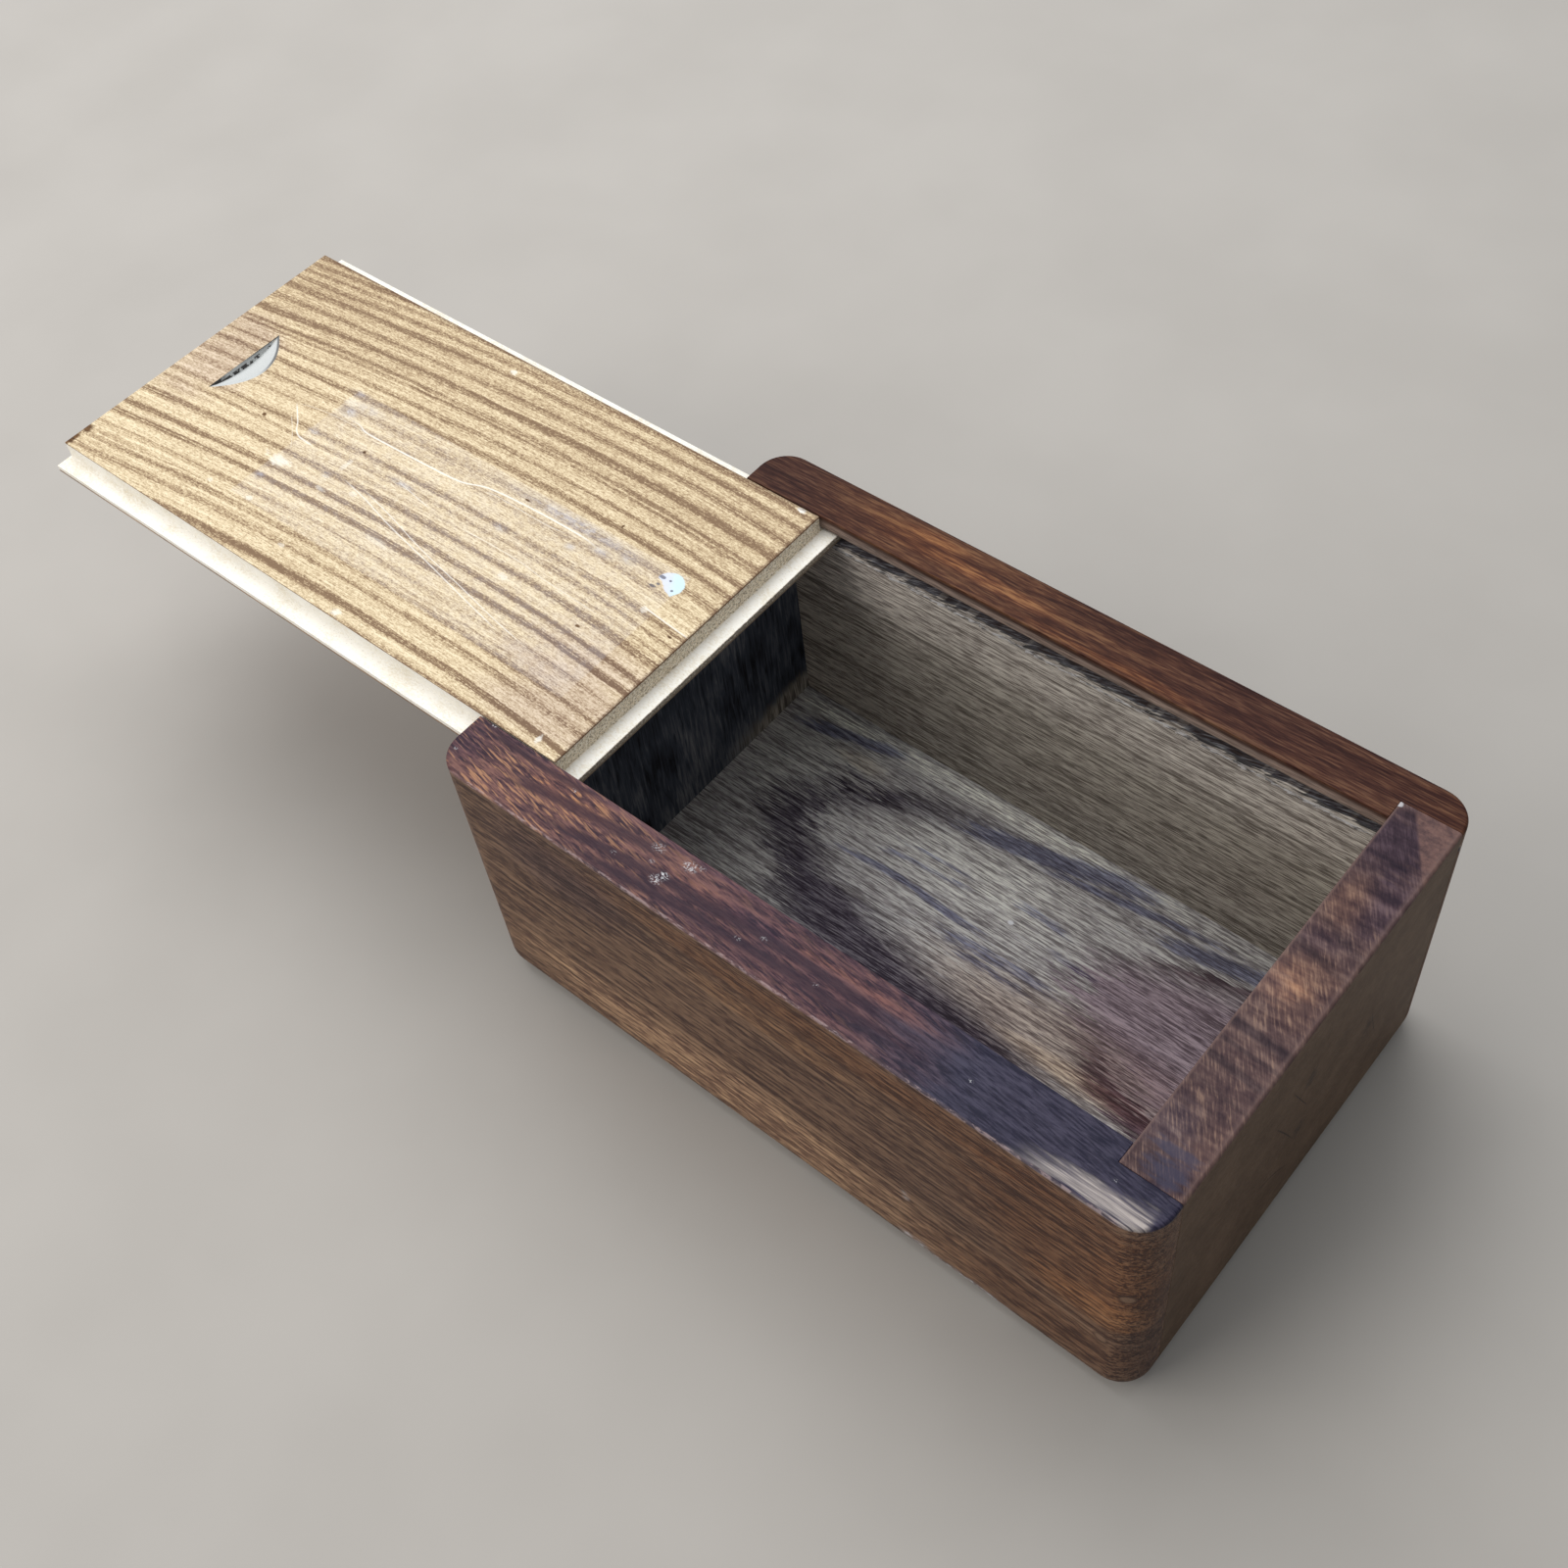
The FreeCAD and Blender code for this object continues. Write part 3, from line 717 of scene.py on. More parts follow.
def floor_finish():
    """Floor: grey-brown with an arch of dark heartwood and a plum one within it."""
    f = Finish("floor_wood", 0.08)
    tone = f.grain(131, "x", (0.3, 0.8, 2, 2))
    wander = f.noise((22, 3), 133, 3, 0.6) - 0.5
    fray = f.noise((7, 0.5), 135, 3, 0.7) - 0.5
    colour = f.shade(tone, FLOOR, 0.34)
    colour.patches(flat_marks(FLOOR_MARKS, FLOOR_TOP, 9), fray * 1.6)
    field = 0
    for points, width, depth in BLUE_STREAKS:
        field = (f.stroke(points, width, f.x, f.y + wander * 2.4, 0.35) * depth).most(field)
    colour.gain(BLUE_HEART, (field + fray * 2.2).step(0.1, 0.9))

    x = f.x + fray * 42 + wander * 22
    y = f.y + wander * 4 + fray * 2
    edge, near = arch(x, y, *PLUM_ARCH)
    colour.gain(PLUM, edge.step(4, -8))
    rim = edge.step(-4, 0.5) * edge.step(2 + near * 6, 0.8 + near * 1.5)
    rim = rim * (0.35 + f.x.step(30, 50) * 0.65)
    colour.gain(PLUM_HEART, rim)
    colour.gain(PLUM, rim * near * f.x.step(34, 60))

    edge, near = arch(x, y, *HEART_ARCH)
    outer = near.most(f.x.step(-48, -60))
    heart = (edge + near * 2).step(-7, 3) * edge.step(9 + outer * 16, 2.5 + outer * 4.5)
    heart = heart * (1 - (1 - near) * f.x.step(-45, -5) * 0.8) * f.x.step(58, 18)
    colour.gain(HEART, heart * (1.1 - tone * 0.3))
    speck = f.spot((*FLOOR_SPECK, FLOOR_TOP), (0.8, 0.6, 9), 0.3)
    colour.lay(CHALK, speck * 0.9)
    below = f.z.step(FLOOR_TOP - 0.5, FLOOR_TOP - 1.5)
    colour.lay(FACE[MIDDLE], below * 0.8)
    return f.done(colour, 0.66 + tone * 0.15, tone, 0.09)


# The finger notch: its straight wall's distance from the lid's outer end, half its length along the lid,
# its distance from the lid's middle and half its width.
NOTCH_FROM_END = 15.5
NOTCH_HALF_LENGTH = 4.2
NOTCH_OFF_MIDDLE = 2.9
NOTCH_REACH = 12.7
NOTCH_WALL = FIELD_LOW.x + NOTCH_FROM_END
NOTCH_X = NOTCH_WALL + NOTCH_HALF_LENGTH
NOTCH_Y = (TONGUE_LOW.y + TONGUE_HIGH.y) / 2 + NOTCH_OFF_MIDDLE


def notch_dashes(f):
    """1 on tears along the notch's straight wall, closer together towards its near end."""
    tears = f.noise((STILL, 1.5, 1.6), 179, 2, 0.6)
    crowding = f.y.step(NOTCH_Y + NOTCH_REACH, NOTCH_Y - NOTCH_REACH) * 0.2
    ends = f.y.step(NOTCH_Y + NOTCH_REACH - 1, NOTCH_Y + NOTCH_REACH - 4)
    low = f.z.step(FIELD_HIGH.z - 0.7, FIELD_HIGH.z - 1).most(f.y.step(NOTCH_Y - 6, NOTCH_Y - 9))
    return (tears + crowding).step(0.5, 0.57) * ends * low


# The lid's face. Growth rings bow about a crest in x, more on its inner side; each has its y at the crest,
# a half width and a strength.
RING_CREST = -110
RING_BEND_OUT = 4.6e-4
RING_BEND_IN = 1.2e-3
RINGS = [
    (-45.2, 0.8, 0.6), (-40.7, 1.3, 0.95), (-34.3, 1.2, 0.5), (-30.2, 1.1, 0.55), (-28.1, 0.5, 0.25),
    (-24.8, 0.9, 0.35), (-19.6, 1.1, 0.95), (-15.5, 1.1, 0.85), (-9.4, 1.3, 0.7), (-6.2, 0.6, 0.25),
    (-3.1, 0.9, 0.4), (0.3, 1.2, 0.55), (6.6, 1, 0.35), (11.1, 1.4, 0.4), (16.5, 1.1, 0.7),
    (20.9, 0.9, 0.5), (25.6, 0.7, 0.45), (27.3, 0.8, 0.6), (31.9, 1.3, 0.75), (37, 1.1, 0.5),
    (42.3, 1.2, 0.55), (46.2, 1, 0.5), (49.4, 0.9, 0.45), (52.4, 1.1, 0.55), (55.6, 1, 0.5),
]
VENEER_MARKS = [
    ((-243, 2), (12, 17), ROSY, 0.9),
    ((-84, -27), (18, 14), ROSY, 0.9),
]
# The old label's place and half size; scratches as points (x, y), half width and strength.
LABEL_PLACE = (-142, -8.5)
LABEL_SIZE = (58.7, 22.5)
SCRATCHES = [
    ([(-197, 4.8), (-192, 4.8), (-186, 3.7), (-175, 4), (-165, 4.4), (-155, 5), (-145, 7.8), (-134, 8.7),
      (-118, 9.1), (-106, 8)], 0.36, 0.95),
    ([(-147, 5.8), (-140, 6.9), (-128, 6.8), (-118, 7.5)], 0.2, 0.5),
    ([(-211.6, 1.2), (-206, -3.4), (-201, -7.4), (-195, -7.8)], 0.36, 0.85),
    ([(-209, -3), (-204, -7), (-199, -12)], 0.2, 0.4),
    ([(-211, 1), (-206, 2.3), (-198, 3.4), (-186, 3.7)], 0.18, 0.35),
    ([(-181, -11), (-170, -13), (-158, -15.8), (-140, -19.2), (-126, -22), (-108, -25.4)], 0.26, 0.75),
    ([(-174, -10.6), (-160, -13.4), (-145, -16.9), (-128, -20), (-112, -23), (-100, -24.8)], 0.22, 0.7),
    ([(-167, -3.9), (-160, -4.9), (-153, -6)], 0.22, 0.6),
    ([(-143, -6.4), (-126, -5.8), (-112, -6.7), (-92, -7.4)], 0.2, 0.45),
    ([(-87, 0.9), (-80, 0.2), (-71, -0.6)], 0.32, 0.8),
]
# Residue, smears and specks as place (x, y), half size and, where it varies, strength.
PALE_RESIDUE = [
    ((-198.4, -16.4), (3.4, 1.4), 0.8), ((-194.5, -30.2), (1, 0.7), 0.7), ((-208, -31.8), (0.8, 0.6), 0.5),
    ((-182.5, -7.4), (0.8, 1.8), 0.5), ((-181.5, -17.2), (1.4, 0.6), 0.5), ((-121, -12), (1.6, 0.9), 0.6),
    ((-173, -13.8), (1, 0.8), 0.5), ((-155, -21.8), (5, 0.9), 0.4), ((-86, 0.2), (0.8, 0.8), 0.6),
    ((-174.5, -36.4), (0.9, 0.6), 0.5), ((-199, 9.4), (2, 1.2), 0.35), ((-146.3, -43.8), (1.9, 0.9), 0.95),
    ((-79, -42.8), (0.6, 1.5), 0.95), ((-76.2, 46.5), (1, 0.8), 1.5), ((-171, 42.4), (0.9, 0.7), 0.9),
]
BLUE_SMEARS = [
    ((-196.8, 6.4), (2.4, 1.6), 0.8), ((-199, -3.8), (2, 0.9), 0.5), ((-119, 11.6), (20, 1.8), 0.6),
    ((-107.5, 8), (3.6, 1.1), 0.5), ((-114.6, 4.8), (1.4, 1), 0.6), ((-133.4, -0.4), (2, 1.1), 0.5),
    ((-165, -4), (4, 0.9), 0.5), ((-184, -13), (1.4, 1), 0.5), ((-198.5, -23), (1.3, 1.3), 0.6),
    ((-193, 10), (5, 1.6), 0.35), ((-199.5, 13), (3, 0.9), 0.35), ((-100, 9.6), (2.4, 1.2), 0.45),
]
# The scrap of the label that is left: a disc cut off on one side, bluer on another, with dark marks placed
# from its middle.
REMNANT = (-86.4, 9.6)
REMNANT_SIZE = (3.9, 3.7)
REMNANT_CUT = (0.52, 0.85)
REMNANT_BLUE = (0.85, 0.53)
REMNANT_MARKS = [
    ((-2.9, 0.9), (0.9, 0.6)), ((-0.4, 1), (0.4, 0.35)), ((1.9, -1.2), (0.4, 0.4)),
    ((-3.1, -2.6), (1, 0.45)), ((-2.3, -1.4), (0.45, 0.35)),
]
DARK_SPECKS = [
    ((-95.4, -12.8), (0.7, 0.4)), ((-75.2, -2.8), (0.6, 0.35)), ((-215.2, -7), (0.6, 0.5)),
    ((-108.6, 17.4), (0.3, 0.6)), ((-182, -1.6), (0.5, 0.4)), ((-134.6, 10.3), (0.9, 0.3)),
    ((-251.4, -38), (1.4, 1.5)), ((-251.6, -43), (1, 2.6)),
]


def veneer_finish():
    """Face sheet of the lid: straw with bowed brown rings, scratches and an old label's trace."""
    f = Finish("striped_veneer", 0.14)
    top = FIELD_HIGH.z
    bow = f.x - RING_CREST
    bend = bow * bow * (RING_BEND_OUT + bow.step(-8, 8) * (RING_BEND_IN - RING_BEND_OUT))
    drift = (f.noise((90, 14), 151) - 0.5) * 3 + (f.noise((9, 1.2), 153) - 0.5) * 0.9
    across = f.y + bend + drift
    uneven = f.noise((45, 5), 155, 2)
    bent = f.node("ShaderNodeCombineXYZ", {}, {"X": f.x, "Y": across, "Z": f.z})
    fine = f.noise((40, 0.5), 157, 3, 0.65, 0.1, place=bent)
    lines = f.noise((70, 0.45), 163, 3, 0.7, place=bent)
    fuzz = f.noise((1.6, 0.34), 159, 2, 0.65)
    speckle = f.noise((0.6, 0.34), 165, 2, 0.7)
    rings = 0
    for y, width, strength in RINGS:
        rings = (abs(across - y).step(width * 1.35, width * SOLID) * strength).most(rings)
    rings = rings * (0.75 + uneven * 0.9) * (1 + f.x.step(-125, -85) * 0.3)
    browner = f.y.step(-5, 35) * 0.15 + f.x.step(-180, -250) * f.y.step(5, 40) * 0.08
    broken = f.swing(0.62, (lines, 2.2), (speckle, 1))
    tone = f.swing(0.3 + rings * broken, (fine, 1.2), (fuzz, 1.15), (speckle, 1.4)) + browner
    colour = f.tones(tone, (0, STRAW), (0.3, HONEY), (0.62, RING_BROWN), (1, RING_DARK))
    colour.patches(flat_marks(VENEER_MARKS, top, 9), (uneven - 0.5) * 3)
    smudge = f.noise((2.6, 1.5), 161, 3, 0.65)
    patchy = smudge.step(0.4, 0.62)
    label_x = abs(f.x - LABEL_PLACE[0]).step(LABEL_SIZE[0] + 0.3, LABEL_SIZE[0] - 0.3)
    label_y = abs(f.y - LABEL_PLACE[1]).step(LABEL_SIZE[1] + 0.3, LABEL_SIZE[1] - 0.3)
    colour.lay(LABEL_WHITE, label_x * label_y * (patchy * 0.06 + 0.05))
    ragged = (smudge - 0.5) * 3.4
    for place, reach, strength in BLUE_SMEARS:
        mark = f.spot((*place, top), (*reach, 3), 0.7, ragged)
        colour.lay(LABEL_GREY, mark * strength * 0.4)
        colour.lay(LABEL_WHITE, mark * patchy * strength * 0.5)
    for place, reach, strength in PALE_RESIDUE:
        mark = f.spot((*place, top), (*reach, 3), 0.45, ragged)
        colour.lay(CREAM, mark * strength * 0.65)
    cut = 1
    for points, width, strength in SCRATCHES:
        line = f.stroke(points, width, f.x, f.y, 0.12) * (fuzz * 0.9 + 0.45)
        colour.lay(CREAM, line * strength * 0.85)
        cut = cut - line * strength * 0.4
    for place, reach in DARK_SPECKS:
        mark = f.spot((*place, top), (*reach, 3), 0.4, ragged * 0.5)
        colour.gain(RING_DARK, mark)
    scrap = f.spot((*REMNANT, top), (*REMNANT_SIZE, 3), 0.06, ragged * 0.06)
    kept = f.past(REMNANT, REMNANT_CUT) + ragged * 0.5
    scrap = scrap * kept.step(-1.7, -1.2)
    bluer = f.past(REMNANT, REMNANT_BLUE).step(-0.5, 2)
    colour.lay(f.mix(LABEL_WHITE, LABEL_BLUE, bluer), scrap * 0.95)
    for (u, v), reach in REMNANT_MARKS:
        mark = f.spot((REMNANT[0] + u, REMNANT[1] + v, top), (*reach, 3), 0.3, ragged * 0.6)
        colour.lay(LABEL_DARK, mark * 0.8)

    notched = f.z.step(top - 0.03, top - 0.08) * f.spot((NOTCH_X, NOTCH_Y, top), (10, 14, 4), 0.02)
    colour.lay(NOTCH_CREAM, notched)
    rim = notched * f.z.step(top - 0.4, top - 0.2) * f.y.step(NOTCH_Y - 3, NOTCH_Y + 5)
    colour.lay(BLACK_BROWN, rim * 0.75)
    wall = notched * f.x.step(NOTCH_WALL + 0.35, NOTCH_WALL + 0.2)
    colour.lay(BLACK_BROWN, wall * notch_dashes(f) * 0.9)
    rough = (speckle - 0.5) * 2
    far_edge = (f.y + rough).step(FIELD_HIGH.y - 1.5, FIELD_HIGH.y)
    edge = far_edge.most((f.x + rough).step(FIELD_HIGH.x - 1, FIELD_HIGH.x))
    colour.lay(BACK[DARK], edge * 0.75)
    sides = f.z.step(top - 0.12, top - 0.2) * (1 - notched)
    colour.lay(BACK[MIDDLE], sides * 0.8)
    height = f.swing(cut, (fine, 0.3), (fuzz, 0.5))
    return f.done(colour, 0.5 + fuzz * 0.1 + (1 - cut) * 0.3, height, 0.035)


def fibreboard_finish():
    """Core of the lid: cream fibreboard with fine specks, browner on its sawn shoulder."""
    f = Finish("fibreboard", 0.08)
    fuzz = f.noise((0.8, 0.45, 0.45), 171, 3, 0.65)
    clouds = f.noise((9, 6, 6), 173, 2)
    tone = f.swing(0.5, (fuzz, 0.9), (clouds, 0.6))
    colour = f.tones(tone, (0.2, BUFF), (0.55, CREAM), (0.8, CREAM))
    specks = f.noise((0.5, 0.4, 0.4), 177, 1).step(0.68, 0.76)
    colour.lay(FIBRE_GREY, specks * 0.3)
    edge = FIELD_HIGH.x
    shoulder = f.x.step(edge - 0.4, edge - 0.1) * f.x.step(edge + 0.5, edge + 0.15)
    grit = f.noise((0.5, 0.55, 0.35), 181, 2, 0.7)
    colour.lay(f.tones(grit, (0.34, FIBRE_GREY), (0.52, SHOULDER), (0.66, CREAM)), shoulder * 0.9)
    torn = f.x.step(TONGUE_HIGH.x - 0.3, TONGUE_HIGH.x - 0.05)
    colour.lay(f.tones(grit, (0.36, BACK[DARK]), (0.5, FIBRE_GREY), (0.66, BUFF)), torn * 0.85)
    scoop = f.spot((NOTCH_X, NOTCH_Y, FIELD_HIGH.z), (6, 13.5, 4.5), 0.02)
    colour.lay(NOTCH_CREAM, scoop * 0.95)
    wall = f.x.step(NOTCH_WALL + 0.62, NOTCH_WALL + 0.48) * f.x.step(NOTCH_WALL - 0.5, NOTCH_WALL - 0.2)
    wall = wall * f.spot((NOTCH_X, NOTCH_Y, FIELD_HIGH.z), (10, 14, 4.5), 0.02)
    colour.lay(BLACK_BROWN, wall * notch_dashes(f) * 0.9)
    return f.done(colour, 0.8, fuzz, 0.04)


def backing_finish():
    """Back sheet of the lid: plain brown veneer with a frayed edge."""
    f = Finish("backing_veneer", 0.15)
    tone = f.grain(191, "x", (0.5, 0.7, 0.9, 0.6))
    colour = f.shade(tone, BACK)
    frayed = f.x.step(BACK_HIGH.x - 0.6, BACK_HIGH.x - 0.1)
    colour.lay(FIBRE_GREY, frayed * 0.8)
    return f.done(colour, 0.6 + tone * 0.15, tone, 0.05)


def fibre_finish(name, pale, dark, seed):
    """Torn wood fibres, paler and darker by turns."""
    f = Finish(name, 0.08)
    tone = f.noise((2.5, 0.8, 0.5), seed, 2)
    colour = f.tones(tone, (0.36, dark), (0.52, pale), (0.7, pale))
    return f.done(colour, 0.8, f.noise((1.5, 0.2, 0.2), seed + 1), 0.03)


def link(mesh, name, finish):
    """An object at the origin that holds a mesh with one material."""
    piece = bpy.data.objects.new(name, mesh)
    bpy.context.scene.collection.objects.link(piece)
    mesh.materials.clear()
    mesh.materials.append(finish)
    return piece


def plain_mesh(piece):
    """Replaces a piece's mesh by its evaluated one and removes its modifiers."""
    bpy.context.view_layer.update()
    graph = bpy.context.evaluated_depsgraph_get()
    mesh = bpy.data.meshes.new_from_object(piece.evaluated_get(graph))
    piece.modifiers.clear()
    piece.data = mesh
    mesh.name = piece.name


# Corners sharper than the first angle are eased; faces flatter than the second are joined, as are points
# nearer than the first length. The other lengths are eased widths.
EASE_ANGLE = math.radians(28)
FLAT_ANGLE = math.radians(0.3)
SAME_POINT = 0.002
WALL_EASE = 0.2
FLOOR_EASE = 0.15
CORE_EASE = 0.12
FACE_EASE = 0.1
BACK_EASE = 0.08


def eased_board(node, name, body, finish, ease):
    """A board in place of its CAD piece, with its sharp edges eased by so many millimetres."""
    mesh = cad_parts[node].data.copy()
    board = bmesh.new()
    board.from_mesh(mesh)
    bmesh.ops.remove_doubles(board, verts=board.verts, dist=SAME_POINT * MM)
    bmesh.ops.dissolve_limit(board, angle_limit=FLAT_ANGLE, verts=board.verts, edges=board.edges)
    board.to_mesh(mesh)
    board.free()
    mesh.polygons.foreach_set("use_smooth", [True] * len(mesh.polygons))
    piece = link(mesh, name, finish)
    bevel = piece.modifiers.new("ease", "BEVEL")
    bevel.width = ease * MM
    bevel.segments = 2
    bevel.limit_method = "ANGLE"
    bevel.angle_limit = EASE_ANGLE
    bevel.use_clamp_overlap = True
    normals = piece.modifiers.new("flat faces", "WEIGHTED_NORMAL")
    normals.keep_sharp = True
    plain_mesh(piece)
    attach(piece, body)
    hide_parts(node)


class Scatter(Tree):
    """A Geometry Nodes tree with named inputs, made into a plain mesh at the end."""

    KINDS = {int: "NodeSocketInt", float: "NodeSocketFloat", tuple: "NodeSocketVector"}

    def __init__(self, name, sizes, finish):
        self.tree = bpy.data.node_groups.new(name, "GeometryNodeTree")
        super().__init__(self.tree)
        self.name = name
        self.sizes = sizes
        self.finish = finish
        for key, value in sizes.items():
            self.tree.interface.new_socket(key, in_out="INPUT", socket_type=self.KINDS[type(value)])
        self.tree.interface.new_socket("Geometry", in_out="OUTPUT", socket_type="NodeSocketGeometry")
        entry = self.nodes.new("NodeGroupInput")
        self.size = {key: Value(self, entry.outputs[key]) for key in sizes}

    def random(self, low, high, seed, kind="FLOAT_VECTOR"):
        """A random vector, or a number with the kind FLOAT, between two limits for each point."""
        first, output = (0, 0) if kind == "FLOAT_VECTOR" else (2, 1)
        inputs = {first: low, first + 1: high, "Seed": seed}
        return self.node("FunctionNodeRandomValue", {"data_type": kind}, inputs, output)

    def grow(self, instances):
        """Realizes the instances with the finish and returns the piece as a plain mesh."""
        real = self.node("GeometryNodeRealizeInstances", {}, {"Geometry": instances})
        done = self.node("GeometryNodeSetMaterial", {}, {"Geometry": real, "Material": self.finish})
        end = self.nodes.new("NodeGroupOutput")
        self.put(end.inputs["Geometry"], done)
        piece = link(bpy.data.meshes.new(self.name), self.name, self.finish)
        modifier = piece.modifiers.new("grow", "NODES")
        modifier.node_group = self.tree
        for item in self.tree.interface.items_tree:
            if item.in_out == "INPUT":
                modifier[item.identifier] = self.sizes[item.name]
        plain_mesh(piece)
        return piece


# A fibre's sides and slant, and the limits of its slant and of its size along each axis as shares.
FIBRE_SIDES = 5
SLANT = math.radians(12)
SLANT_SHARES = (0.5, 1.4)
FIBRE_LEAST = (0.45, 0.2, 0.35)
FIBRE_MOST = (1, 0.45, 1)


def splinters(name, finish, start, end, count, length, width, scatter, seed):
    """Tapered fibres along a line, each at its own slant, length and height."""
    sizes = {
        "Start": tuple(place * MM for place in start),
        "End": tuple(place * MM for place in end),
        "Scatter": tuple(reach * MM for reach in scatter),
        "Count": count,
        "Length": length * MM,
        "Width": width * MM,
        "Slant": SLANT,
        "Seed": seed,
    }
    t = Scatter(name, sizes, finish)
    size = t.size
    ends = {"Count": size["Count"], "Start Location": size["Start"], "Offset": size["End"]}
    line = t.node("GeometryNodeMeshLine", {"mode": "END_POINTS"}, ends)
    back = t.node("ShaderNodeVectorMath", {"operation": "SCALE"}, {"Vector": size["Scatter"], "Scale": -1})
    jitter = t.random(back, size["Scatter"], size["Seed"])
    points = t.node("GeometryNodeSetPosition", {}, {"Geometry": line, "Offset": jitter})
    shape = {"Vertices": FIBRE_SIDES, "Radius Top": 0, "Radius Bottom": size["Width"] / 2}
    fibre = t.node("GeometryNodeMeshCone", {}, {**shape, "Depth": size["Length"]})
    least, most = (size["Slant"] * share for share in SLANT_SHARES)
    slant = t.random(least, most, size["Seed"] + 1, "FLOAT")
    upright = {"X": 0, "Y": math.pi / 2 - slant, "Z": 0}
    turn = t.node("ShaderNodeCombineXYZ", {}, upright)
    grown = t.random(FIBRE_LEAST, FIBRE_MOST, size["Seed"] + 2)
    rotation = t.node("FunctionNodeEulerToRotation", {}, {"Euler": turn})
    placed = {"Points": points, "Instance": fibre, "Rotation": rotation, "Scale": grown}
    return t.grow(t.node("GeometryNodeInstanceOnPoints", {}, placed))


def torn_groove(name, y, out, finish, seed):
    """Fibres torn from a side wall under the lid's groove; out is the sign of the way off the wall."""
    start = (OPEN_HIGH.x + 2, y + out * 0.06, GROOVE_LOW - 2.5)
    end = (CLOSED_LOW.x - 5, *start[1:])
    piece = splinters(name, finish, start, end, count=120, length=7, width=0.8,
                      scatter=(2, 0.05, 0.33), seed=seed)
    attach(piece, "box")


# Boards by CAD piece, name, material slot, finish and eased width.
BOX_BOARDS = [
    ("near_side_wall", "near_wall_board", "side_wall_wood", near_wall_finish, WALL_EASE),
    ("far_side_wall", "far_wall_board", "side_wall_wood", far_wall_finish, WALL_EASE),
    ("open_end_wall", "open_end_board", "end_wall_wood", open_end_finish, WALL_EASE),
    ("closed_end_wall", "closed_end_board", "end_wall_wood", closed_end_finish, WALL_EASE),
    ("bottom_board", "floor_board", "floor_wood", floor_finish, FLOOR_EASE),
]
LID_BOARDS = [
    ("lid_panel", "lid_core", "fibreboard", fibreboard_finish, CORE_EASE),
    ("lid_face_veneer", "lid_face_sheet", "striped_veneer", veneer_finish, FACE_EASE),
    ("lid_back_veneer", "lid_back_sheet", "backing_veneer", backing_finish, BACK_EASE),
]


def dress_box():
    """The five boards of the box and the torn fibres of its grooves."""
    for node, name, slot, finish, ease in BOX_BOARDS:
        eased_board(node, name, "box", finish(), ease)
    torn = fibre_finish("torn_fibres", TORN_PALE, TORN_DARK, 201)
    torn_groove("far_groove_fibres", FAR_LOW.y, -1, torn, 5)
    torn_groove("near_groove_fibres", NEAR_HIGH.y, 1, torn, 9)


def dress_lid():
    """The three layers of the lid and its frayed inner edge."""
    for node, name, slot, finish, ease in LID_BOARDS:
        eased_board(node, name, "lid", finish(), ease)
    start = (BACK_HIGH.x - 0.4, NEAR_HIGH.y + 1, BACK_LOW.z + 0.45)
    end = (start[0], FAR_LOW.y - 1, start[2])
    frayed = fibre_finish("frayed_edge", FRAY_PALE, FRAY_DARK, 221)
    piece = splinters("lid_edge_fray", frayed, start, end, count=260, length=0.75, width=0.5,
                      scatter=(0.02, 0.3, 0.22), seed=3)
    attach(piece, "lid")


# The camera: where it stands, the point it is aimed at, its roll, and its lens and sensor in millimetres.
EYE = (0.16127, -0.19683, 0.41594)
AIM = (-0.04922, 0.00191, 0.04)
ROLL = math.radians(-8.424)
LENS = 44.856
SENSOR = 36
CLIP_START = 0.01


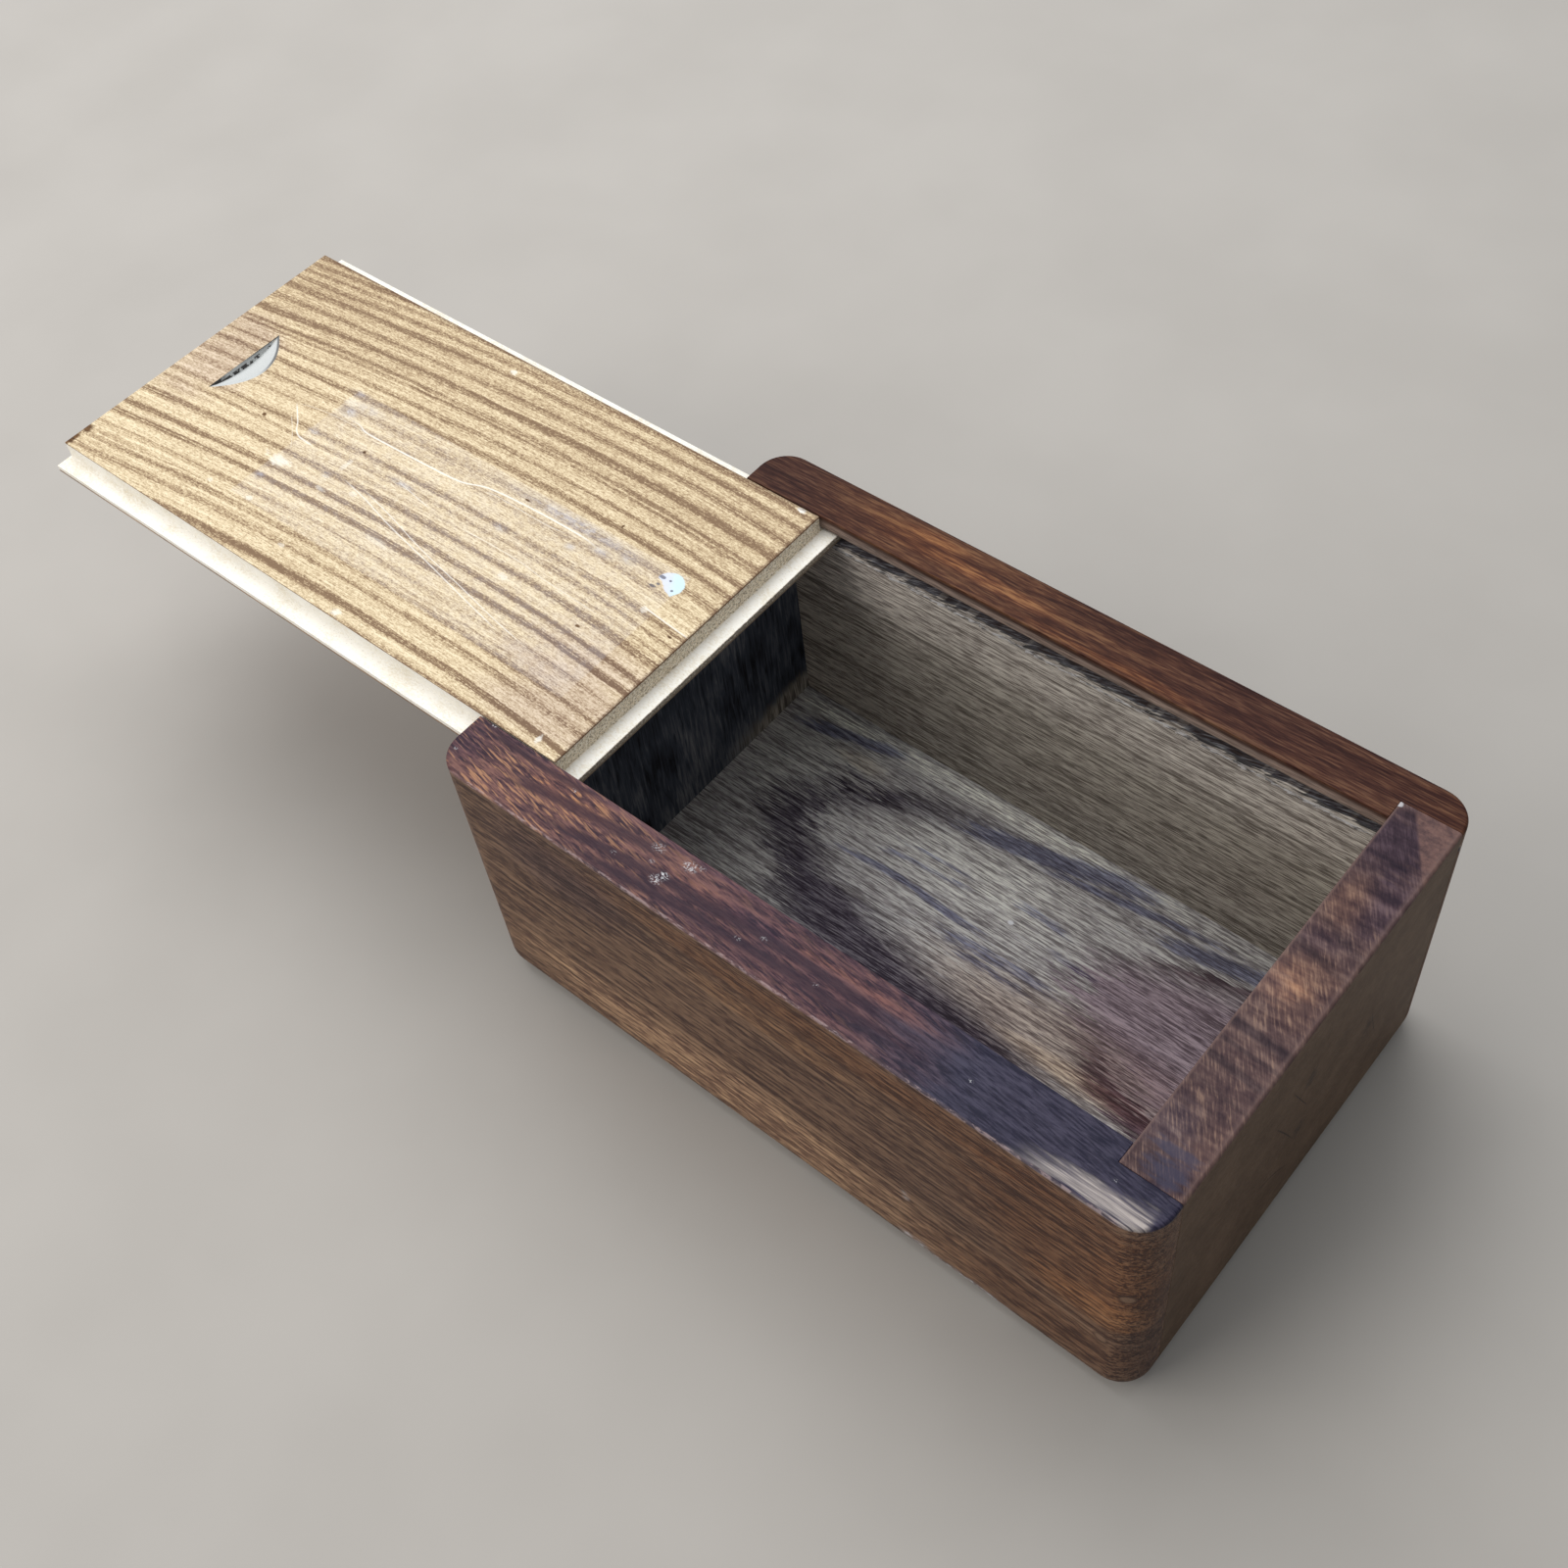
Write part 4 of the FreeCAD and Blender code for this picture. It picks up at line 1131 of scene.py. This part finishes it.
def aimed(data, place, aim, roll=0):
    """Puts a camera or a lamp at a place and aims it at a point."""
    made = bpy.data.objects.new(data.name, data)
    made.location = place
    made.rotation_mode = "QUATERNION"
    turn = (Vector(aim) - Vector(place)).to_track_quat("-Z", "Y").to_matrix().to_4x4()
    made.rotation_quaternion = (turn @ Matrix.Rotation(roll, 4, "Z")).to_quaternion()
    bpy.context.scene.collection.objects.link(made)
    return made


def place_camera():
    """The camera of the photograph's view."""
    data = bpy.data.cameras.new("camera")
    data.lens = LENS
    data.sensor_width = SENSOR
    data.clip_start = CLIP_START
    bpy.context.scene.camera = aimed(data, EYE, AIM, ROLL)


# The studio: half the floor's width in metres, the lamps as place, size, power and colour, what they are
# aimed at, and the sky.
STUDIO_REACH = 4
LAMPS = {
    "sky_panel": ((-0.55, 0.35, 1.15), 1.3, 17, (0.94, 0.97, 1)),
    "front_panel": ((-0.75, -1.05, 0.85), 1.1, 10.5, (1, 0.98, 0.95)),
}
LAMP_AIM = (-0.05, 0, 0.05)
SKY_COLOUR = (0.9, 0.95, 1, 1)
SKY_STRENGTH = 0.42


def studio():
    """Pale floor, two soft lamps and a dim sky."""
    mesh = bmesh.new()
    bmesh.ops.create_grid(mesh, x_segments=1, y_segments=1, size=STUDIO_REACH)
    data = bpy.data.meshes.new("studio_floor")
    mesh.to_mesh(data)
    mesh.free()
    f = Finish("studio_floor", 0.2)
    mottle = f.noise((60, 60, 60), 231, 3)
    colour = f.tones(mottle, (0.35, STUDIO_DARK), (0.65, STUDIO_PALE))
    floor = link(data, "studio_floor", f.done(colour, 0.8, mottle, 0.02))
    for name, (place, size, power, colour) in LAMPS.items():
        lamp = bpy.data.lights.new(name, "AREA")
        lamp.shape = "SQUARE"
        lamp.size = size
        lamp.energy = power
        lamp.color = colour
        aimed(lamp, place, LAMP_AIM)
    world = bpy.data.worlds.new("studio")
    world.use_nodes = True
    sky = world.node_tree.nodes["Background"]
    sky.inputs["Color"].default_value = SKY_COLOUR
    sky.inputs["Strength"].default_value = SKY_STRENGTH
    bpy.context.scene.world = world
    bpy.context.scene.view_settings.view_transform = "Standard"


dress_box()
dress_lid()
studio()
place_camera()
